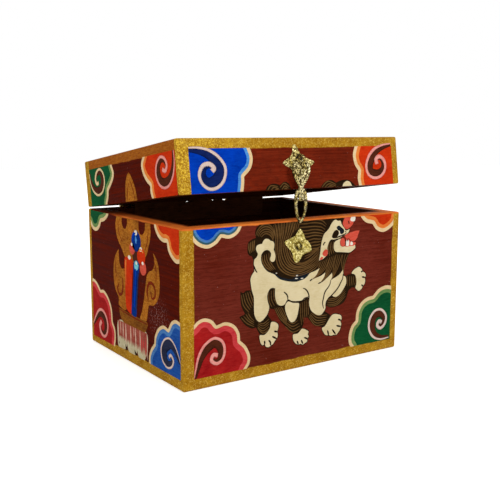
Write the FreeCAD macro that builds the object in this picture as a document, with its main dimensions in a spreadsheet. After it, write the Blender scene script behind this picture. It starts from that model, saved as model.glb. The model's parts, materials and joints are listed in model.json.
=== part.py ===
"""Painted wooden trinket box with a hinged lid, brass star plates and a swinging hasp.

Millimetres. X runs to the right along the front, Y to the back and Z up, and the origin is the centre of
the underside. The box is built whole and sawn into base and lid, so the lid is drawn shut and then turned
about its hinges to stand ajar. The hasp hangs from the eye in the lid, just in front of the base.
"""
import FreeCAD, Part
import math
import os
import re

from FreeCAD import Placement, Rotation, Vector

DRIVING_DIMENSIONS = [
    ("box_width", 150.0, "outside width, left to right"),
    ("box_depth", 118.0, "outside depth, front to back"),
    ("base_height", 84.3, "underside to the rim of the base"),
    ("lid_height", 28.0, "rim of the lid to its top"),
    ("wall_thickness", 10.0, "boards of the base and rails of the lid"),
    ("rabbet_depth", 5.0, "how far floor, top and side boards are let into the walls"),
    ("floor_thickness", 7.0, "floor board"),
    ("top_thickness", 7.0, "lid top board"),
    ("saw_gap", 0.4, "gap between the two rims when the lid is shut"),
    ("edge_radius", 1.0, "rounding of the outer edges"),
    ("lid_ajar", 7.9, "angle at which the lid stands open, degrees"),
    ("hinge_spacing", 80.0, "between the middles of the two hinges"),
    ("hinge_length", 24.0, "length of a hinge along its pin"),
    ("leaf_height", 13.0, "pin axis to the far edge of a leaf"),
    ("leaf_thickness", 0.9, "sheet of a leaf"),
    ("barrel_diameter", 3.8, "outside of the knuckles"),
    ("barrel_clearance", 0.3, "between the knuckles and the back of the box"),
    ("knuckle_gap", 0.2, "between neighbouring knuckles"),
    ("pin_diameter", 1.8, "hinge pin"),
    ("pin_clearance", 0.05, "between the pin and the knuckles, on the radius"),
    ("pin_overhang", 0.6, "pin beyond the knuckles at each end"),
    ("nail_pitch", 14.0, "between the two nails of a leaf"),
    ("nail_drop", 8.0, "pin axis to the nails"),
    ("nail_diameter", 1.5, "shank of a hinge nail"),
    ("nail_length", 7.0, "shank of a hinge nail, under its head"),
    ("nail_head_diameter", 3.4, "domed head of a hinge nail"),
    ("nail_head_height", 0.8, "domed head of a hinge nail"),
    ("brad_diameter", 1.4, "shank of a brad"),
    ("brad_head_diameter", 2.2, "head of a brad, driven flush"),
    ("brad_head_height", 0.8, "head of a brad"),
    ("brad_tip", 2.0, "pointed end of a nail or brad"),
    ("corner_brad_length", 20.0, "brads through the front and back into the sides"),
    ("panel_brad_length", 14.0, "brads through the floor and the top into the walls"),
    ("brad_margin", 7.0, "outermost corner brads to the edges of the side boards"),
    ("bore_clearance", 0.05, "between a fastener and its bore, on the radius"),
    ("star_span", 20.0, "point to opposite point of a star plate"),
    ("star_tip_width", 3.0, "blunt end of a star's point"),
    ("star_waist", 5.6, "centre of a star to its edge between two points"),
    ("star_thickness", 0.7, "sheet of a star plate"),
    ("base_star_x", -3.2, "base star and eye, from the middle of the front"),
    ("base_star_drop", 13.7, "base star and eye, below the rim of the base"),
    ("base_star_turn", 12.0, "base star, degrees clockwise seen from the front"),
    ("lid_star_x", -1.8, "lid star and eye, from the middle of the front"),
    ("lid_star_z", 15.2, "lid star and eye, above the rim of the lid"),
    ("lid_star_turn", -8.0, "lid star, degrees clockwise seen from the front"),
    ("staple_wire", 1.4, "wire of the eyes"),
    ("lid_eye_radius", 1.7, "hole of the lid eye"),
    ("lid_eye_reach", 4.7, "middle of the lid eye in front of the wood"),
    ("base_eye_radius", 1.3, "hole of the base eye"),
    ("base_eye_reach", 3.6, "middle of the base eye in front of the wood"),
    ("shank_diameter", 2.4, "both legs of a staple together"),
    ("leg_diameter", 1.3, "leg of a staple, bent over inside"),
    ("leg_length", 5.0, "bent end of a leg, from the shank's middle"),
    ("hasp_length", 33.4, "pivot to the tip of the hasp"),
    ("hasp_wire", 1.6, "wire of the hasp"),
    ("hasp_eye_width", 12.4, "outside of the upper loop at its shoulders"),
    ("hasp_eye_at", 4.6, "pivot to the shoulders of the upper loop"),
    ("hasp_eye_arch", 3.0, "bend of the wire where it hangs in the lid's eye"),
    ("hasp_eye_bend", 1.4, "bend of the wire at the shoulders of the upper loop"),
    ("hasp_web_thickness", 1.2, "thickness of the web that closes the upper loop"),
    ("hasp_waist_diameter", 2.6, "twisted neck between the two loops"),
    ("hasp_waist_at", 14.0, "pivot to the neck"),
    ("hasp_loop_width", 8.8, "outside of the lower loop at its widest"),
    ("hasp_loop_at", 18.8, "pivot to the shoulders of the lower loop"),
    ("hasp_loop_side", 6.0, "straight side of the lower loop under its shoulders"),
    ("hasp_loop_bend", 2.0, "bend of the wire at the shoulders of the lower loop"),
    ("hasp_tip_radius", 1.8, "bend of the wire at the tip"),
    ("hasp_knot", 4.4, "side of the square crossing under the neck"),
    ("hasp_knot_thickness", 1.3, "thickness of the crossing"),
    ("hang_clearance", 0.25, "between the hasp and the eye that carries it"),
    ("hasp_out", 3.0, "degrees by which the hasp hangs clear of the front"),
]
KNUCKLE_COUNT = 5
BASE_CORNER_BRAD_COUNT = 3
LID_CORNER_BRAD_COUNT = 2
LONG_SIDE_BRAD_COUNT = 4
SHORT_SIDE_BRAD_COUNT = 3

doc = FreeCAD.newDocument("TrinketBox")
sheet = doc.addObject("Spreadsheet::Sheet", "Dimensions")
for row, (alias, value, meaning) in enumerate(DRIVING_DIMENSIONS, start=1):
    sheet.set(f"A{row}", meaning)
    sheet.set(f"B{row}", str(value))
    sheet.setAlias(f"B{row}", alias)
doc.recompute()

ALIASES = {alias for alias, value, meaning in DRIVING_DIMENSIONS}

# Places that several pieces share, as expressions in the driving dimensions.
FRONT = "(-box_depth / 2)"
BACK = "(box_depth / 2)"
LEFT = "(-box_width / 2)"
LAP = "(wall_thickness - rabbet_depth)"
LID_RIM = "(base_height + saw_gap)"
LID_TOP = "(base_height + saw_gap + lid_height)"
PIN_OFFSET = "(barrel_diameter / 2 + barrel_clearance)"
KNUCKLE = f"(hinge_length / {KNUCKLE_COUNT})"

AXES = {
    "x": Rotation(Vector(0, 1, 0), 90),
    "y": Rotation(Vector(1, 0, 0), -90),
    "z": Rotation(),
}


def mm(alias):
    """The value in the sheet's cell of that name."""
    return float(sheet.get(alias))


def linked(text):
    """The expression with each dimension's name pointing at its cell."""
    return re.sub(r"[a-z_]+", lambda word: f"Dimensions.{word[0]}" if word[0] in ALIASES else word[0], text)


def bind(thing, **expressions):
    """Bind properties of a document object to expressions in the driving dimensions."""
    for prop, text in expressions.items():
        thing.setExpression(prop.replace("__", "."), linked(text))
    return thing


def locate(thing, corner):
    """Bind a thing's place to three expressions."""
    x, y, z = corner
    return bind(thing, Placement__Base__x=x, Placement__Base__y=y, Placement__Base__z=z)


def block(name, sides, corner):
    """A block with its low corner at a place."""
    length, width, height = sides
    thing = doc.addObject("Part::Box", name)
    return locate(bind(thing, Length=length, Width=width, Height=height), corner)


def rod(name, diameter, length, start, along):
    """A round rod that starts at a place and runs along +x, +y or +z."""
    thing = doc.addObject("Part::Cylinder", name)
    thing.Placement = Placement(Vector(), AXES[along])
    return locate(bind(thing, Radius=f"({diameter}) / 2", Height=length), start)


def fused(name, things):
    """One solid, or one group of solids, of several things."""
    whole = doc.addObject("Part::MultiFuse", name)
    whole.Shapes = things
    return whole


def cut(name, base, tools):
    """A thing with other things taken out of it."""
    result = doc.addObject("Part::Cut", name)
    result.Base = base
    result.Tool = tools[0] if len(tools) == 1 else fused(f"{name}_tools", tools)
    return result


def copies(name, template, places):
    """A group of separate solids: the template repeated at several placements."""
    doc.recompute()
    group = doc.addObject("Part::Feature", name)
    group.Shape = Part.makeCompound([template.Shape.transformed(place.toMatrix()) for place in places])
    return group


def rounded(name, base, keep):
    """A thing with the straight edges rounded whose middle and direction pass the test."""
    doc.recompute()
    result = doc.addObject("Part::Fillet", name)
    result.Base = base
    radius = mm("edge_radius")
    chosen = []
    for index, edge in enumerate(base.Shape.Edges, start=1):
        if edge.Curve.TypeId == "Part::GeomLine" and keep(edge.BoundBox):
            chosen.append((index, radius, radius))
    result.Edges = chosen
    return result


def flat(low, high, place):
    """Whether a stretch along one axis lies at one place."""
    return abs(low - place) < 1e-6 and abs(high - place) < 1e-6


def outer_edges(floor, height):
    """The test for a wall's outer edges: along its rims and at the corners of the box."""
    half_width, half_depth = mm("box_width") / 2, mm("box_depth") / 2

    def test(box):
        on_side = flat(abs(box.XMin), abs(box.XMax), half_width) and box.XMin * box.XMax > 0
        on_front = flat(abs(box.YMin), abs(box.YMax), half_depth) and box.YMin * box.YMax > 0
        on_rim = flat(box.ZMin, box.ZMax, floor) or flat(box.ZMin, box.ZMax, floor + height)
        return (on_rim and (on_side or on_front)) or (on_side and on_front)
    return test


def walls(prefix, floor, height, panel, panel_z, extra):
    """Four rabbeted walls and the board let into them, with the bores in extra taken out of each wall."""
    long_rabbet = ("box_width - 2 * wall_thickness", "rabbet_depth", panel)
    end_rabbet = ("wall_thickness", "rabbet_depth", height)
    end_places = (("left", LEFT), ("right", "(box_width / 2 - wall_thickness)"))
    blanks = {}
    for side, outside, inside in (("front", FRONT, f"({FRONT} + {LAP})"),
                                  ("back", "(box_depth / 2 - wall_thickness)",
                                   "(box_depth / 2 - wall_thickness)")):
        blank = block(f"{prefix}_{side}_blank", ("box_width", "wall_thickness", height),
                      (LEFT, outside, floor))
        tools = [block(f"{prefix}_{side}_{end}_rabbet", end_rabbet, (place, inside, floor))
                 for end, place in end_places]
        tools.append(block(f"{prefix}_{side}_panel_rabbet", long_rabbet,
                           (f"{LEFT} + wall_thickness", inside, panel_z)))
        blanks[side] = (blank, tools)
    for side, outside, inside in (("left", LEFT, f"({LEFT} + {LAP})"),
                                  ("right", "(box_width / 2 - wall_thickness)",
                                   "(box_width / 2 - wall_thickness)")):
        run = f"box_depth - 2 * {LAP}"
        start = f"{FRONT} + {LAP}"
        blank = block(f"{prefix}_{side}_blank", ("wall_thickness", run, height), (outside, start, floor))
        tools = [block(f"{prefix}_{side}_panel_rabbet", ("rabbet_depth", run, panel),
                       (inside, start, panel_z))]
        blanks[side] = (blank, tools)
    made = {}
    for side, (blank, tools) in blanks.items():
        made[side] = cut(f"{prefix}_{side}_cut", blank, tools + extra[side])
    panel_sides = (f"box_width - 2 * {LAP}", f"box_depth - 2 * {LAP}", panel)
    panel_corner = (f"{LEFT} + {LAP}", f"{FRONT} + {LAP}", panel_z)
    made["panel"] = cut(f"{prefix}_panel_cut", block(f"{prefix}_panel_blank", panel_sides, panel_corner),
                        extra["panel"])
    return made


def spaced(low, high, count):
    """Evenly spaced places from low to high."""
    if count == 1:
        return [(low + high) / 2]
    return [low + (high - low) * step / (count - 1) for step in range(count)]


# Fasteners: each points down, with the top of the wood, or the leaf, at its z of 0.
def brad(name, length):
    """A brad with its head driven flush."""
    head = rod(f"{name}_head", "brad_head_diameter", "brad_head_height", ("0", "0", "-brad_head_height"), "z")
    shank = rod(f"{name}_shank", "brad_diameter", f"{length} - brad_tip",
                ("0", "0", f"brad_tip - {length}"), "z")
    tip = doc.addObject("Part::Cone", f"{name}_tip")
    bind(tip, Radius1="brad_diameter / 10", Radius2="brad_diameter / 2", Height="brad_tip")
    locate(tip, ("0", "0", f"-{length}"))
    return fused(name, [head, shank, tip])


def brad_bore(name, length):
    """The hole for a brad, wider and deeper by the clearance."""
    head = rod(f"{name}_head", "brad_head_diameter + 2 * bore_clearance", "brad_head_height + bore_clearance",
               ("0", "0", "-brad_head_height - bore_clearance"), "z")
    shank = rod(f"{name}_shank", "brad_diameter + 2 * bore_clearance", f"{length} + bore_clearance",
                ("0", "0", f"-{length} - bore_clearance"), "z")
    return fused(name, [head, shank])


def hinge_nail(name):
    """A nail with a domed head that sits on a hinge leaf."""
    head = doc.addObject("Part::Cone", f"{name}_head")
    bind(head, Radius1="nail_head_diameter / 2", Radius2="nail_head_diameter / 4", Height="nail_head_height")
    shank = rod(f"{name}_shank", "nail_diameter", "nail_length - brad_tip",
                ("0", "0", "brad_tip - nail_length"), "z")
    tip = doc.addObject("Part::Cone", f"{name}_tip")
    bind(tip, Radius1="nail_diameter / 10", Radius2="nail_diameter / 2", Height="brad_tip")
    locate(tip, ("0", "0", "-nail_length"))
    return fused(name, [head, shank, tip])


DRIVEN = {
    "back": Rotation(Vector(1, 0, 0), 90),
    "front": Rotation(Vector(1, 0, 0), -90),
    "down": Rotation(),
    "up": Rotation(Vector(1, 0, 0), 180),
}


def corner_places(low, high, count):
    """Brads through the front and back boards into the ends of the side boards, by board."""
    column = mm("box_width") / 2 - mm("wall_thickness") / 2
    half_depth = mm("box_depth") / 2
    found = {"front": [], "back": []}
    for x in (-column, column):
        for z in spaced(low, high, count):
            found["front"].append(Placement(Vector(x, -half_depth, z), DRIVEN["back"]))
            found["back"].append(Placement(Vector(x, half_depth, z), DRIVEN["front"]))
    return found


def panel_places(z, driven):
    """Brads through the floor or the top into the ledges of the four walls, by wall."""
    lap = mm("wall_thickness") - mm("rabbet_depth")
    ledge_x = mm("box_width") / 2 - lap - mm("rabbet_depth") / 2
    ledge_y = mm("box_depth") / 2 - lap - mm("rabbet_depth") / 2
    along_x = ledge_x * (1 - 1 / LONG_SIDE_BRAD_COUNT)
    along_y = ledge_y * (1 - 1 / SHORT_SIDE_BRAD_COUNT)
    found = {"front": [], "back": [], "left": [], "right": []}
    for x in spaced(-along_x, along_x, LONG_SIDE_BRAD_COUNT):
        found["front"].append(Placement(Vector(x, -ledge_y, z), DRIVEN[driven]))
        found["back"].append(Placement(Vector(x, ledge_y, z), DRIVEN[driven]))
    for y in spaced(-along_y, along_y, SHORT_SIDE_BRAD_COUNT):
        found["left"].append(Placement(Vector(-ledge_x, y, z), DRIVEN[driven]))
        found["right"].append(Placement(Vector(ledge_x, y, z), DRIVEN[driven]))
    return found


def everywhere(found):
    """All the places of a table of places."""
    return [place for places in found.values() for place in places]


rim = mm("base_height")
lid_rim = rim + mm("saw_gap")
lid_top = lid_rim + mm("lid_height")
pin_axis = Vector(0, mm("box_depth") / 2 + mm("barrel_diameter") / 2 + mm("barrel_clearance"),
                  rim + mm("saw_gap") / 2)
PIN_Y = f"({BACK} + {PIN_OFFSET})"
PIN_Z = "(base_height + saw_gap / 2)"

corner_brad = brad("corner_brad", "corner_brad_length")
corner_bore = brad_bore("corner_bore", "corner_brad_length")
panel_brad = brad("panel_brad", "panel_brad_length")
panel_bore = brad_bore("panel_bore", "panel_brad_length")
nail = hinge_nail("nail")
nail_bore = rod("nail_bore", "nail_diameter + 2 * bore_clearance", "nail_length + bore_clearance",
                ("0", "0", "-nail_length - bore_clearance"), "z")

base_corners = corner_places(mm("floor_thickness") + mm("brad_margin"), rim - mm("brad_margin"),
                             BASE_CORNER_BRAD_COUNT)
lid_corners = corner_places(lid_rim + mm("brad_margin"),
                            lid_top - mm("top_thickness") - mm("brad_margin") / 2, LID_CORNER_BRAD_COUNT)
floor_places = panel_places(0.0, "up")
top_places = panel_places(lid_top, "down")

nail_y = mm("box_depth") / 2 + mm("leaf_thickness")
nail_columns = [side * mm("hinge_spacing") / 2 + offset for side in (-1, 1)
                for offset in (-mm("nail_pitch") / 2, mm("nail_pitch") / 2)]
nail_places = {half: [Placement(Vector(x, nail_y, pin_axis.z + sign * mm("nail_drop")), DRIVEN["front"])
                      for x in nail_columns]
               for half, sign in (("base", -1), ("lid", 1))}

# The shank holes of the two staples, right through the front of the base and of the lid.
base_eye_at = ("base_star_x", FRONT, "(base_height - base_star_drop)")
lid_eye_at = ("lid_star_x", FRONT, f"({LID_RIM} + lid_star_z)")
shank_hole = "shank_diameter + 2 * bore_clearance"
base_shank_hole = rod("base_shank_hole", shank_hole, "wall_thickness", base_eye_at, "y")
lid_shank_hole = rod("lid_shank_hole", shank_hole, "wall_thickness", lid_eye_at, "y")

base_extra = {
    "front": [base_shank_hole, copies("base_front_bores", corner_bore, base_corners["front"]),
              copies("floor_front_bores", panel_bore, floor_places["front"])],
    "back": [copies("base_back_bores", corner_bore, base_corners["back"]),
             copies("floor_back_bores", panel_bore, floor_places["back"]),
             copies("base_nail_bores", nail_bore, nail_places["base"])],
    "left": [copies("base_left_bores", corner_bore, everywhere(base_corners)),
             copies("floor_left_bores", panel_bore, floor_places["left"])],
    "right": [copies("base_right_bores", corner_bore, everywhere(base_corners)),
              copies("floor_right_bores", panel_bore, floor_places["right"])],
    "panel": [copies("floor_bores", panel_bore, everywhere(floor_places))],
}
lid_extra = {
    "front": [lid_shank_hole, copies("lid_front_bores", corner_bore, lid_corners["front"]),
              copies("top_front_bores", panel_bore, top_places["front"])],
    "back": [copies("lid_back_bores", corner_bore, lid_corners["back"]),
             copies("top_back_bores", panel_bore, top_places["back"]),
             copies("lid_nail_bores", nail_bore, nail_places["lid"])],
    "left": [copies("lid_left_bores", corner_bore, everywhere(lid_corners)),
             copies("top_left_bores", panel_bore, top_places["left"])],
    "right": [copies("lid_right_bores", corner_bore, everywhere(lid_corners)),
              copies("top_right_bores", panel_bore, top_places["right"])],
    "panel": [copies("top_bores", panel_bore, everywhere(top_places))],
}
base = walls("base", "0", "base_height", "floor_thickness", "0", base_extra)
lid = walls("lid", LID_RIM, "lid_height", "top_thickness", f"({LID_TOP} - top_thickness)", lid_extra)

nodes = {}
lid_nodes = []
for side in ("front", "back", "left", "right"):
    nodes[f"{side}_board"] = rounded(f"{side}_board", base[side], outer_edges(0.0, rim))
    nodes[f"lid_{side}_rail"] = rounded(f"lid_{side}_rail", lid[side], outer_edges(lid_rim, mm("lid_height")))
    lid_nodes.append(f"lid_{side}_rail")
nodes["floor_board"] = base["panel"]
nodes["lid_top_board"] = lid["panel"]

nodes["base_corner_brads"] = copies("base_corner_brads", corner_brad, everywhere(base_corners))
nodes["floor_brads"] = copies("floor_brads", panel_brad, everywhere(floor_places))
nodes["lid_corner_brads"] = copies("lid_corner_brads", corner_brad, everywhere(lid_corners))
nodes["lid_top_brads"] = copies("lid_top_brads", panel_brad, everywhere(top_places))
nodes["base_hinge_nails"] = copies("base_hinge_nails", nail, nail_places["base"])
nodes["lid_hinge_nails"] = copies("lid_hinge_nails", nail, nail_places["lid"])
lid_nodes += ["lid_top_board", "lid_corner_brads", "lid_top_brads", "lid_hinge_nails"]


def hinge_leaf(name, middle, half):
    """A leaf nailed to the back, with its own knuckles and notches for the other leaf's knuckles."""
    low = f"({PIN_Z} - leaf_height)" if half == "base" else PIN_Z
    notch_low = f"({PIN_Z} - {PIN_OFFSET})" if half == "base" else PIN_Z
    own = 0 if half == "base" else 1
    start = f"({middle} - hinge_length / 2)"
    leaf = block(f"{name}_sheet", ("hinge_length", "leaf_thickness", "leaf_height"), (start, BACK, low))
    knuckles, notches = [], []
    for slot in range(KNUCKLE_COUNT):
        slot_x = f"{start} + {slot} * {KNUCKLE}"
        if slot % 2 == own:
            knuckles.append(rod(f"{name}_knuckle_{slot}", "barrel_diameter", f"{KNUCKLE} - knuckle_gap",
                                (f"{slot_x} + knuckle_gap / 2", PIN_Y, PIN_Z), "x"))
        else:
            notches.append(block(f"{name}_notch_{slot}", (KNUCKLE, "leaf_thickness", PIN_OFFSET),
                                 (slot_x, BACK, notch_low)))
    body = fused(f"{name}_body", [cut(f"{name}_notched", leaf, notches)] + knuckles)
    pin_bore = rod(f"{name}_pin_bore", "pin_diameter + 2 * pin_clearance", "hinge_length",
                   (start, PIN_Y, PIN_Z), "x")
    return cut(name, body, [pin_bore, copies(f"{name}_nail_holes", nail_bore, nail_places[half])])


for side, middle in (("left", "(-hinge_spacing / 2)"), ("right", "(hinge_spacing / 2)")):
    nodes[f"{side}_hinge_base_leaf"] = hinge_leaf(f"{side}_hinge_base_leaf", middle, "base")
    nodes[f"{side}_hinge_lid_leaf"] = hinge_leaf(f"{side}_hinge_lid_leaf", middle, "lid")
    lid_nodes.append(f"{side}_hinge_lid_leaf")
    nodes[f"{side}_hinge_pin"] = rod(f"{side}_hinge_pin", "pin_diameter", "hinge_length + 2 * pin_overhang",
                                     (f"{middle} - hinge_length / 2 - pin_overhang", PIN_Y, PIN_Z), "x")

# A star plate is a disc with a round bite between each two points.
STAR_BITE_AT = ("((star_span ^ 2 / 4 + star_tip_width ^ 2 / 4 - star_waist ^ 2)"
                " / (star_span + star_tip_width - 2 * sqrt(2) * star_waist))")


def star_plate(name, middle):
    """A four-pointed plate flat on the front, with a hole for its staple."""
    x, face, z = middle
    lowest = f"({face} - star_thickness)"
    disc = rod(f"{name}_disc", "star_span", "star_thickness", (x, lowest, z), "y")
    bite = f"2 * (sqrt(2) * {STAR_BITE_AT} - star_waist)"
    bites = [rod(f"{name}_bite_{across}{up}", bite, "star_thickness",
                 (f"{x} {across} {STAR_BITE_AT}", lowest, f"{z} {up} {STAR_BITE_AT}"), "y")
             for across in "+-" for up in "+-"]
    hole = rod(f"{name}_hole", shank_hole, "star_thickness", (x, lowest, z), "y")
    return cut(name, disc, bites + [hole])


def staple(name, middle, hole_radius, reach):
    """A split pin: an eye in front, a shank through the wood and two legs bent over inside."""
    x, face, z = middle
    ring = doc.addObject("Part::Torus", f"{name}_ring")
    ring.Placement = Placement(Vector(), AXES["x"])
    bind(ring, Radius1=f"{hole_radius} + staple_wire / 2", Radius2="staple_wire / 2")
    locate(ring, (x, f"{face} - {reach}", z))
    shank_start = f"{face} - {reach} + {hole_radius} + staple_wire / 2"
    shank_end = f"({face} + wall_thickness + bore_clearance + leg_diameter / 2)"
    shank = rod(f"{name}_shank", "shank_diameter", f"{shank_end} - ({shank_start})", (x, shank_start, z), "y")
    legs = rod(f"{name}_legs", "leg_diameter", "2 * leg_length", (f"{x} - leg_length", shank_end, z), "x")
    return fused(name, [ring, shank, legs])


nodes["base_star_plate"] = star_plate("base_star_plate", base_eye_at)
nodes["lid_star_plate"] = star_plate("lid_star_plate", lid_eye_at)
nodes["base_staple"] = staple("base_staple", base_eye_at, "base_eye_radius", "base_eye_reach")
nodes["lid_staple"] = staple("lid_staple", lid_eye_at, "lid_eye_radius", "lid_eye_reach")
lid_nodes += ["lid_star_plate", "lid_staple"]

# The hasp is bent from wire in its own upright plane, with its pivot at the origin.
def belt(circles):
    """A closed path drawn clockwise round circles of the hasp's plane, each given as x, z and radius."""
    touching = []
    for (x, z, radius), (next_x, next_z, next_radius) in zip(circles, circles[1:] + circles[:1]):
        heading = math.atan2(next_z - z, next_x - x)
        outwards = heading + math.acos((radius - next_radius) / math.hypot(next_x - x, next_z - z))
        touching.append(outwards)
    edges = []
    for index, (x, z, radius) in enumerate(circles):
        arrival, departure = touching[index - 1], touching[index]
        middle = arrival - ((arrival - departure) % (2 * math.pi)) / 2
        on_circle = [Vector(x + radius * math.cos(angle), 0, z + radius * math.sin(angle))
                     for angle in (arrival, middle, departure)]
        next_x, next_z, next_radius = circles[(index + 1) % len(circles)]
        next_touch = Vector(next_x + next_radius * math.cos(departure), 0,
                            next_z + next_radius * math.sin(departure))
        edges.append(Part.Arc(*on_circle).toShape())
        edges.append(Part.LineSegment(on_circle[-1], next_touch).toShape())
    return Part.Wire(edges[1:] + edges[:1])


def bent_wire(circles):
    """The hasp's round wire bent into a closed loop round circles."""
    path = belt(circles)
    first = path.Edges[0]
    start = first.valueAt(first.FirstParameter)
    section = Part.Wire(Part.makeCircle(mm("hasp_wire") / 2, start, first.tangentAt(first.FirstParameter)))
    return path.makePipeShell([section], True, True)


def hasp_shape():
    """An upper loop closed by a web, a neck, a square crossing and a long lower loop, in one piece."""
    radius = mm("hasp_wire") / 2
    waist = mm("hasp_waist_at")
    arch, eye_at, eye_bend = mm("hasp_eye_arch"), mm("hasp_eye_at"), mm("hasp_eye_bend")
    eye_x = mm("hasp_eye_width") / 2 - radius - eye_bend
    eye = bent_wire([(0, -arch, arch), (eye_x, -eye_at, eye_bend), (0, radius - waist, radius),
                     (-eye_x, -eye_at, eye_bend)])
    bend, upper_z = mm("hasp_loop_bend"), -mm("hasp_loop_at")
    side_x = mm("hasp_loop_width") / 2 - radius - bend
    lower_z = upper_z - mm("hasp_loop_side")
    tip_z = mm("hasp_tip_radius") + radius - mm("hasp_length")
    loop = bent_wire([(0, -waist - radius, radius), (side_x, upper_z, bend), (side_x, lower_z, bend),
                      (0, tip_z, mm("hasp_tip_radius")), (-side_x, lower_z, bend), (-side_x, upper_z, bend)])
    neck = Part.makeCylinder(mm("hasp_waist_diameter") / 2, 4 * radius, Vector(0, 0, -waist - 2 * radius))
    side, thickness = mm("hasp_knot"), mm("hasp_knot_thickness")
    knot = Part.makeBox(side, thickness, side, Vector(-side / 2, -thickness / 2, -side / 2))
    knot.Placement = Placement(Vector(0, 0, -waist - side / math.sqrt(2)), Rotation(Vector(0, 1, 0), 45))
    half, web = eye_x + eye_bend, mm("hasp_web_thickness")
    corners = ((-half, -eye_at), (half, -eye_at), (0, -waist), (-half, -eye_at))
    outline = [Vector(x, -web / 2, z) for x, z in corners]
    plate = Part.Face(Part.makePolygon(outline)).extrude(Vector(0, web, 0))
    return eye.multiFuse([loop, neck, knot, plate])


nodes["hasp"] = doc.addObject("Part::Feature", "hasp")
nodes["hasp"].Shape = hasp_shape()

# The poses at rest: the stars turned about their staples, the lid ajar, the hasp hanging from its eye.
ajar = Placement(Vector(), Rotation(Vector(1, 0, 0), -mm("lid_ajar")), pin_axis)
lid_eye = Vector(mm("lid_star_x"), -mm("box_depth") / 2 - mm("lid_eye_reach"), lid_rim + mm("lid_star_z"))
base_star_middle = Vector(mm("base_star_x"), 0, rim - mm("base_star_drop"))
lid_star_middle = Vector(lid_eye.x, 0, lid_eye.z)
seat = mm("lid_eye_radius") - mm("hasp_wire") / 2 - mm("hang_clearance")
pivot = ajar.multVec(lid_eye) - Vector(0, 0, seat)
lean = math.degrees(math.atan2(lid_eye.x - base_star_middle.x, lid_eye.z - base_star_middle.z))

for name in lid_nodes:
    nodes[name].Placement = ajar
turn_y = Vector(0, 1, 0)
base_turn = Rotation(turn_y, mm("base_star_turn"))
lid_turn = Rotation(turn_y, mm("lid_star_turn"))
nodes["base_star_plate"].Placement = Placement(Vector(), base_turn, base_star_middle)
nodes["lid_star_plate"].Placement = ajar.multiply(Placement(Vector(), lid_turn, lid_star_middle))
nodes["hasp"].Placement = Placement(pivot, Rotation(Vector(1, 0, 0), -mm("hasp_out")).multiply(
    Rotation(turn_y, lean)))
for name, node in nodes.items():
    node.Label = name
doc.recompute()

SOLIDS = {
    "base_corner_brads": 4 * BASE_CORNER_BRAD_COUNT,
    "lid_corner_brads": 4 * LID_CORNER_BRAD_COUNT,
    "floor_brads": 2 * (LONG_SIDE_BRAD_COUNT + SHORT_SIDE_BRAD_COUNT),
    "lid_top_brads": 2 * (LONG_SIDE_BRAD_COUNT + SHORT_SIDE_BRAD_COUNT),
    "base_hinge_nails": len(nail_columns),
    "lid_hinge_nails": len(nail_columns),
}
for thing in doc.Objects:
    if "Invalid" in thing.State or "Error" in thing.State:
        raise RuntimeError(f"{thing.Label} did not recompute: {thing.State}")
for name, node in nodes.items():
    shape = node.Shape
    if shape.isNull() or not shape.isValid():
        raise RuntimeError(f"{name} is not a valid shape")
    if len(shape.Solids) != SOLIDS.get(name, 1):
        raise RuntimeError(f"{name} has {len(shape.Solids)} solids")

os.makedirs("parts", exist_ok=True)
for name, node in nodes.items():
    node.Shape.exportStep(os.path.join("parts", f"{name}.step"))
print("hinge axis", [round(value, 4) for value in pin_axis])
print("hasp pivot", [round(value, 4) for value in pivot], "lean", round(lean, 3))
print(len(nodes), "nodes written")
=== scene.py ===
# %% [markdown]
# # A painted trinket box with a hinged lid
# The object is a wooden box painted by hand: a dark red ground, gold borders, lobed clouds in the
# corners, a snow lion on the front and an offering of jewels on the sides. Two brass stars carry a
# swinging hasp. The wood, hinges and fittings come as a finished solid model, the frame, and this
# lesson paints and dresses it. The first step loads the frame, which stays fixed all the way through.

# %% Load the frame
import json
import math
import random

import bpy
from mathutils import Matrix, Vector


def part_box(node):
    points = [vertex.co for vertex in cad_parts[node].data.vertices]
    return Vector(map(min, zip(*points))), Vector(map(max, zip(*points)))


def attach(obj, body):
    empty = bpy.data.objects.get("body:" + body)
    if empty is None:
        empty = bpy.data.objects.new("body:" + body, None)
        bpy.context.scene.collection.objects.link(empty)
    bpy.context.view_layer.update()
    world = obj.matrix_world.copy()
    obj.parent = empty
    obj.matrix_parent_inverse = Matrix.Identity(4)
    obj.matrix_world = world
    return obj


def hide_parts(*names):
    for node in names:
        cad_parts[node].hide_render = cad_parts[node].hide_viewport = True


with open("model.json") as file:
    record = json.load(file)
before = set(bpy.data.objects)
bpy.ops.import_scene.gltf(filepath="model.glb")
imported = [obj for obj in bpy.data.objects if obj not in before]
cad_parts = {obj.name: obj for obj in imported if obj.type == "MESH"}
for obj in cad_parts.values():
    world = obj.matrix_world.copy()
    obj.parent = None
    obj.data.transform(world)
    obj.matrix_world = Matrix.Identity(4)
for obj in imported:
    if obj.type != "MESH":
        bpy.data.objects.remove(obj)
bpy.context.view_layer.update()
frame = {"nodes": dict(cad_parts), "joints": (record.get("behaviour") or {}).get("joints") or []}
nodes = frame["nodes"]
bpy.ops.object.select_all(action="DESELECT")

# %% [markdown]
# The camera comes next, because every later choice is judged through it. Its place was worked out
# from the straight edges of the box in the photograph: it stands in front, to the left and a little
# above the lid. The matrix is built from yaw, pitch and roll so that each number can be changed alone.

# %% Set the camera
CAMERA_PLACE = (-0.258042, -0.385545, 0.134179)
CAMERA_YAW, CAMERA_PITCH, CAMERA_ROLL = 34.423, -9.032, 0.195
SENSOR_WIDTH, LENS = 36, 54.909


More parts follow.
